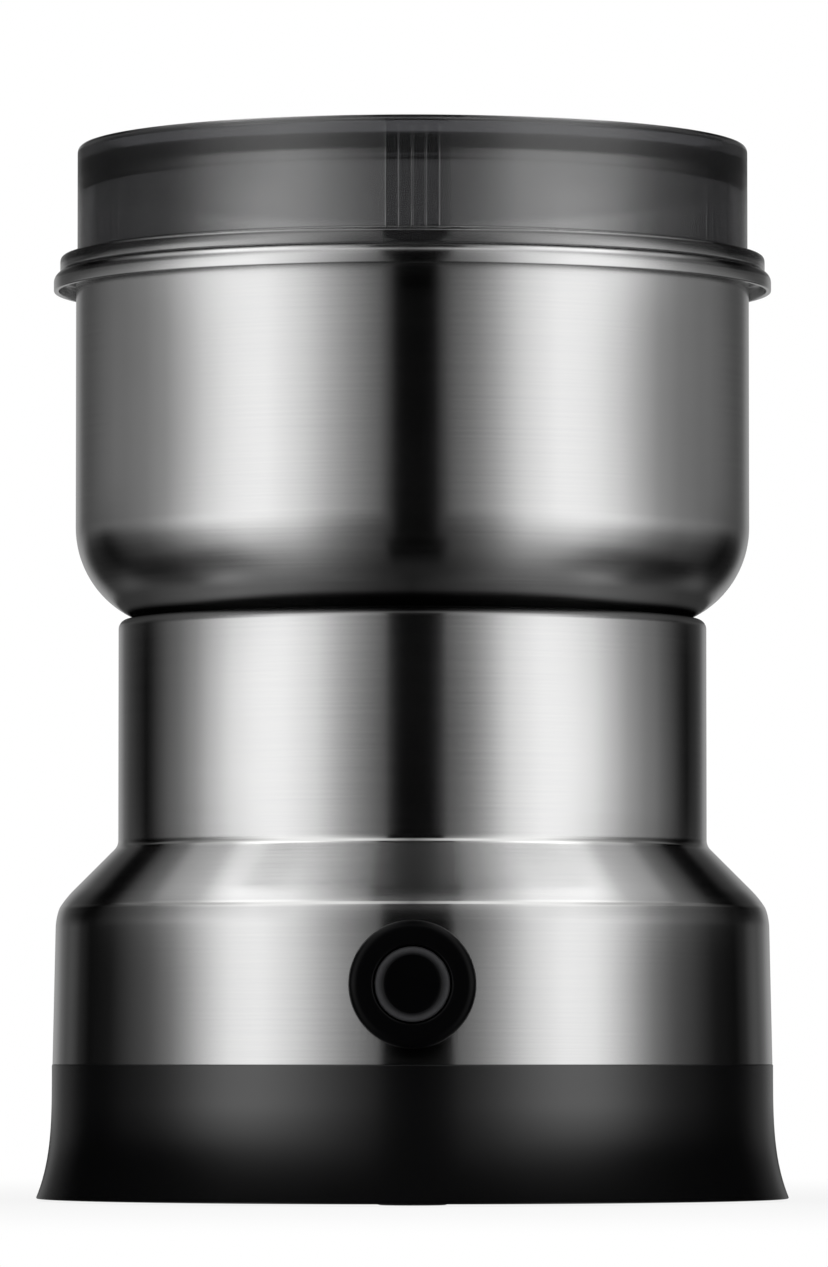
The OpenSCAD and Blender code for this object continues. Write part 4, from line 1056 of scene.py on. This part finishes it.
# Share of the light kept from each wall, by the angle that it faces to the side (left is negative).
SKIRT = (
    [24, 29.8, 33.6, 37.8, 41.7, 46.2, 50.9, 56.4, 63.4, 67.2, 71.7, 75, 80],
    [0, .15, .36, .6, .75, .82, .85, .96, .98, .87, .3, .1, 0])
BOWL = [25, 32.5, 37, 41.5, 46, 51, 57, 61], [0, .16, .27, .33, .33, .21, .08, 0]
NECK = (
    [-79, -75, -71.8, -68.6, -64, -61.5, -56, -49.5, -44, -19, -12, -4, 4, 12, 19, 50, 55, 62, 65, 68, 73, 80],
    [0, .1, .5, .78, .98, .88, .45, .15, 0, 0, .22, .4, .4, .22, 0, 0, .08, .6, .84, .95, .65, 0])
STRIPE_LEFT, STRIPE_RIGHT = (-5.3, -4.5), (6.9, 6.1)
NECK_FROM, BOWL_FROM = (.046, .060), (.098, .108)
gauze, tree, _ = finish_tree("black_gauze")
outer, inner, shine = (
    node(tree, "Attribute", out="Fac", attribute_name=name) for name in ("shade", "card", "glow"))
cover = node(tree, "Mix", {0: node(tree, "NewGeometry", out="Backfacing"), 2: outer, 3: inner})
sheer = node(tree, "MixShader", {
    0: cover, 1: node(tree, "BsdfTransparent"), 2: node(tree, "Emission", {"Strength": shine})})
node(tree, "OutputMaterial", {"Surface": sheer})


def gauze_sheet(name, radius, turns, heights, hidden, card=None, glow=0.0):
    """Sheet at (radius sin t, -radius cos t, z) for turns t and heights z. Its outer side hides that share of what
    lies behind, its inner side hides the card's share, and it glows."""
    mesh = mesh_of(name, [round_axis(radius, turns - np.pi / 2, heights)], loop=False, closed=False)
    stored(mesh, shade=hidden, card=hidden if card is None else card, glow=glow + 0 * hidden)
    staged(name, mesh, gauze, "camera", "diffuse", "transmission", "shadow")
    print(name, "of", hidden.shape, "points")


def meets(facing, wall, flag):
    """Turn and reach at which the way shown by a wall meets a flag: |p + t d| = flag for p = wall (sin f, -cos f)
    and d = (sin 2f, -cos 2f), so the reach is t = -wall cos f + sqrt(flag^2 - (wall sin f)^2)."""
    f = np.radians(facing)
    t = -wall * np.cos(f) + np.sqrt(flag**2 - (wall * np.sin(f)) ** 2)
    return np.arctan2(wall * np.sin(f) + t * np.sin(2 * f), wall * np.cos(f) + t * np.cos(2 * f)), t


flag_turn = np.radians(np.linspace(-FLAG_TURN, FLAG_TURN, 569))
flag_z = np.linspace(FLAG_FOOT[0], FLAG_TOP, 89)[:, None]
facings = np.linspace(-85, 85, 341)
on_skirt, on_neck, on_bowl = (np.interp(flag_turn, meets(facings, r * MM, FLAG_R)[0], facings)
                              for r in (skirt_r, NECK_R, bowl_r))
stripe = step_up(STRIPE_LEFT, on_skirt) * step_up(STRIPE_RIGHT, on_skirt)
off_light = np.maximum(np.interp(np.abs(on_skirt), *SKIRT), stripe)
for span, off_next in ((NECK_FROM, np.interp(on_neck, *NECK)), (BOWL_FROM, np.interp(np.abs(on_bowl), *BOWL))):
    off_light = off_light + step_up(span, flag_z) * (off_next - off_light)
gauze_sheet("tall_flag", FLAG_R, flag_turn, flag_z,
            off_light * step_up(FLAG_FOOT, flag_z) * step_up(FLAG_HEAD, flag_z))

# %% [markdown]
# ## Light on the lid
# Through the wall of the lid the eye meets the panel's underside first, and below its far edge the far wall,
# which throws more light back. So the gauze round the lid is denser above the line in which the panel's far
# edge is seen. Light leaves the wall upwards a little, as the camera looks up at the lid, and that is
# allowed for.

# %% Gauze round the lid
LID = (
    [-90, -75, -68, -64, -58, -46, -34, -22, 50, 57, 63, 67, 75, 90],
    [.3, .5, .8, .88, .66, .66, .33, 0, 0, .15, .88, .8, .5, .3])
LOOK_UP = 0.093
EDGE_SAG = 9.3
PAST_EDGE, EDGE_SOFT = 0.25, (-.0007, .0007)
HIGHER, HIGH_FROM, HIGH_FACING = 0.2, (.1535, .159), (14, 30)
LID_FROM = (-.0025, -.001)
LID_UNDER, LID_OVER = 2, 5  # how far the sheet goes past the lid's wall
lid_facing = np.linspace(-90, 90, 361)
lid_turn, lid_reach = meets(lid_facing, lid_r * MM, LID_FLAG_R)
lid_z = np.linspace(flange_top - LID_UNDER, lid_top + LID_OVER, 85)[:, None] * MM
wall_z = lid_z - lid_reach * LOOK_UP
far_edge = (panel_low - EDGE_SAG * np.cos(np.radians(lid_facing))) * MM
past_edge = PAST_EDGE * step_up(EDGE_SOFT, wall_z - far_edge)
higher = HIGHER * step_up(HIGH_FROM, wall_z) * step_up(HIGH_FACING, np.abs(lid_facing))
off_lid = 1 - (1 - np.interp(lid_facing, *LID)) * (1 - past_edge) * (1 - higher)
gauze_sheet("lid_flag", LID_FLAG_R, lid_turn, lid_z, off_lid * step_up(LID_FROM, wall_z - flange_top * MM))

# %% Ring under the bowl and collar round the foot
RING = [NECK_R - 2.5, NECK_R + 0.6, NECK_R + 1.8, NECK_R + 3.3, bowl_r + 1.2], [.9, .9, .3, .2, .2]
CARD = [38, 48.5, 51, bowl_r + 1.2], [1, 1, .3, .15]
CARD_GLOW = (
    [0, 6.5, 13, 24.5, 37, 43.5, 50.5, 58, 66, 80, 110, 180],
    [.019, .033, .063, .14, .165, .137, .102, .074, .05, .04, .06, .06])
RING_LIFT = 0.15
# The card is dark inside this radius, which shrinks towards the sides.
DARK_R, DARK_SHRINK, DARK_TURN, DARK_SOFT = 45.9, 1.1, (15, 55), 1.2
COLLAR_RING = 0.064
COLLAR = [0, 6, 6.6, 8.1, 9.8, 11.5, 13.5, 15.4], [1, .98, .96, .9, .74, .51, .27, 0]
OPEN_SIDE, OPEN_FROM = 0.85, (.955, .985)
turn = np.linspace(0, 2 * np.pi, 181)
from_front = np.degrees(np.minimum(turn, 2 * np.pi - turn))
ring_r = np.linspace(CARD[0][0], CARD[0][-1], 41)[:, None]
dark_r = DARK_R - DARK_SHRINK * step_up(DARK_TURN, from_front)
gauze_sheet("bowl_ring", ring_r * MM, turn, 0 * ring_r + (neck_top + RING_LIFT) * MM,
            np.interp(ring_r, *RING) + 0 * turn, np.interp(ring_r, *CARD) + 0 * turn,
            np.interp(from_front, *CARD_GLOW) * step_up((dark_r, dark_r + DARK_SOFT), ring_r))
collar_z = np.linspace(0, COLLAR[0][-1], 32)[:, None]
opened = 1 - OPEN_SIDE * step_up(OPEN_FROM, np.abs(np.sin(turn)))
gauze_sheet("dark_collar", COLLAR_RING, turn, collar_z * MM, np.interp(collar_z, *COLLAR) * opened)

# %% [markdown]
# ## Floor, background and camera
# The grinder stands on a pale floor before a white background. The camera sees both as white; the floor
# keeps a soft shadow, because only part of its white is its own. The camera stands low and far off, so
# that the upright lines stay upright and the lid is seen a little from below.

# %% Floor and background
FLOOR_R = 1.2
OWN_WHITE = 0.86
FADE_FROM, FADE_TO = 0.07, 0.30
paper, tree, spot = finish_tree("white_paper_sweep")
seen, through = (node(tree, "LightPath", out="Is %s Ray" % kind) for kind in ("Camera", "Transmission"))
shown = node(tree, "Math", {0: seen, 1: through}, operation="MAXIMUM")
far = node(tree, "VectorMath", {0: spot}, out="Value", operation="LENGTH")
own = node(tree, "MapRange", {"Value": far, "From Min": FADE_FROM, "From Max": FADE_TO, "To Min": OWN_WHITE},
           interpolation_type="SMOOTHSTEP")
part = node(tree, "Math", {0: shown, 1: own}, operation="MULTIPLY")
lit = node(tree, "BsdfDiffuse", {"Color": linear("#f2f2f2")})
white = node(tree, "Emission", {"Color": (1, 1, 1, 1), "Strength": 1.0})
node(tree, "OutputMaterial", {"Surface": node(tree, "MixShader", {0: part, 1: lit, 2: white})})
floor_mesh = mesh_of("floor", [turned(np.array([(0, 0), (FLOOR_R, 0)]), full_turn(128))], loop=False)
tidy(floor_mesh)
staged("floor", floor_mesh, paper, "glossy")
world = bpy.data.worlds.new("studio")
world.use_nodes = True
world.node_tree.nodes.clear()
tree = world.node_tree
rays = [node(tree, "LightPath", out="Is %s Ray" % kind) for kind in ("Camera", "Glossy", "Transmission")]
any_ray = node(tree, "Math", {0: node(tree, "Math", {0: rays[0], 1: rays[1]}, operation="MAXIMUM"), 1: rays[2]},
               operation="MAXIMUM")
sky = node(tree, "Background", {"Color": (1, 1, 1, 1), "Strength": any_ray})
node(tree, "OutputWorld", {"Surface": sky})
bpy.context.scene.world = world
print("floor of", FLOOR_R, "m")

# %% Camera
FRAME_H = 1267
FOCAL_PX = 9200
SENSOR = 24.0
STAND = (0.00024, -1.444, 0.0225)
TILT = 92.633
camera_data = bpy.data.cameras.new("camera")
camera_data.sensor_fit = "VERTICAL"
camera_data.sensor_height = SENSOR
camera_data.lens = SENSOR * FOCAL_PX / FRAME_H
camera = placed("camera", camera_data)
camera.location = STAND
camera.rotation_euler = (np.radians(TILT), 0, 0)
bpy.context.scene.camera = camera
bpy.context.scene.view_settings.view_transform = "Standard"
print("lens", round(camera_data.lens, 2), "mm")
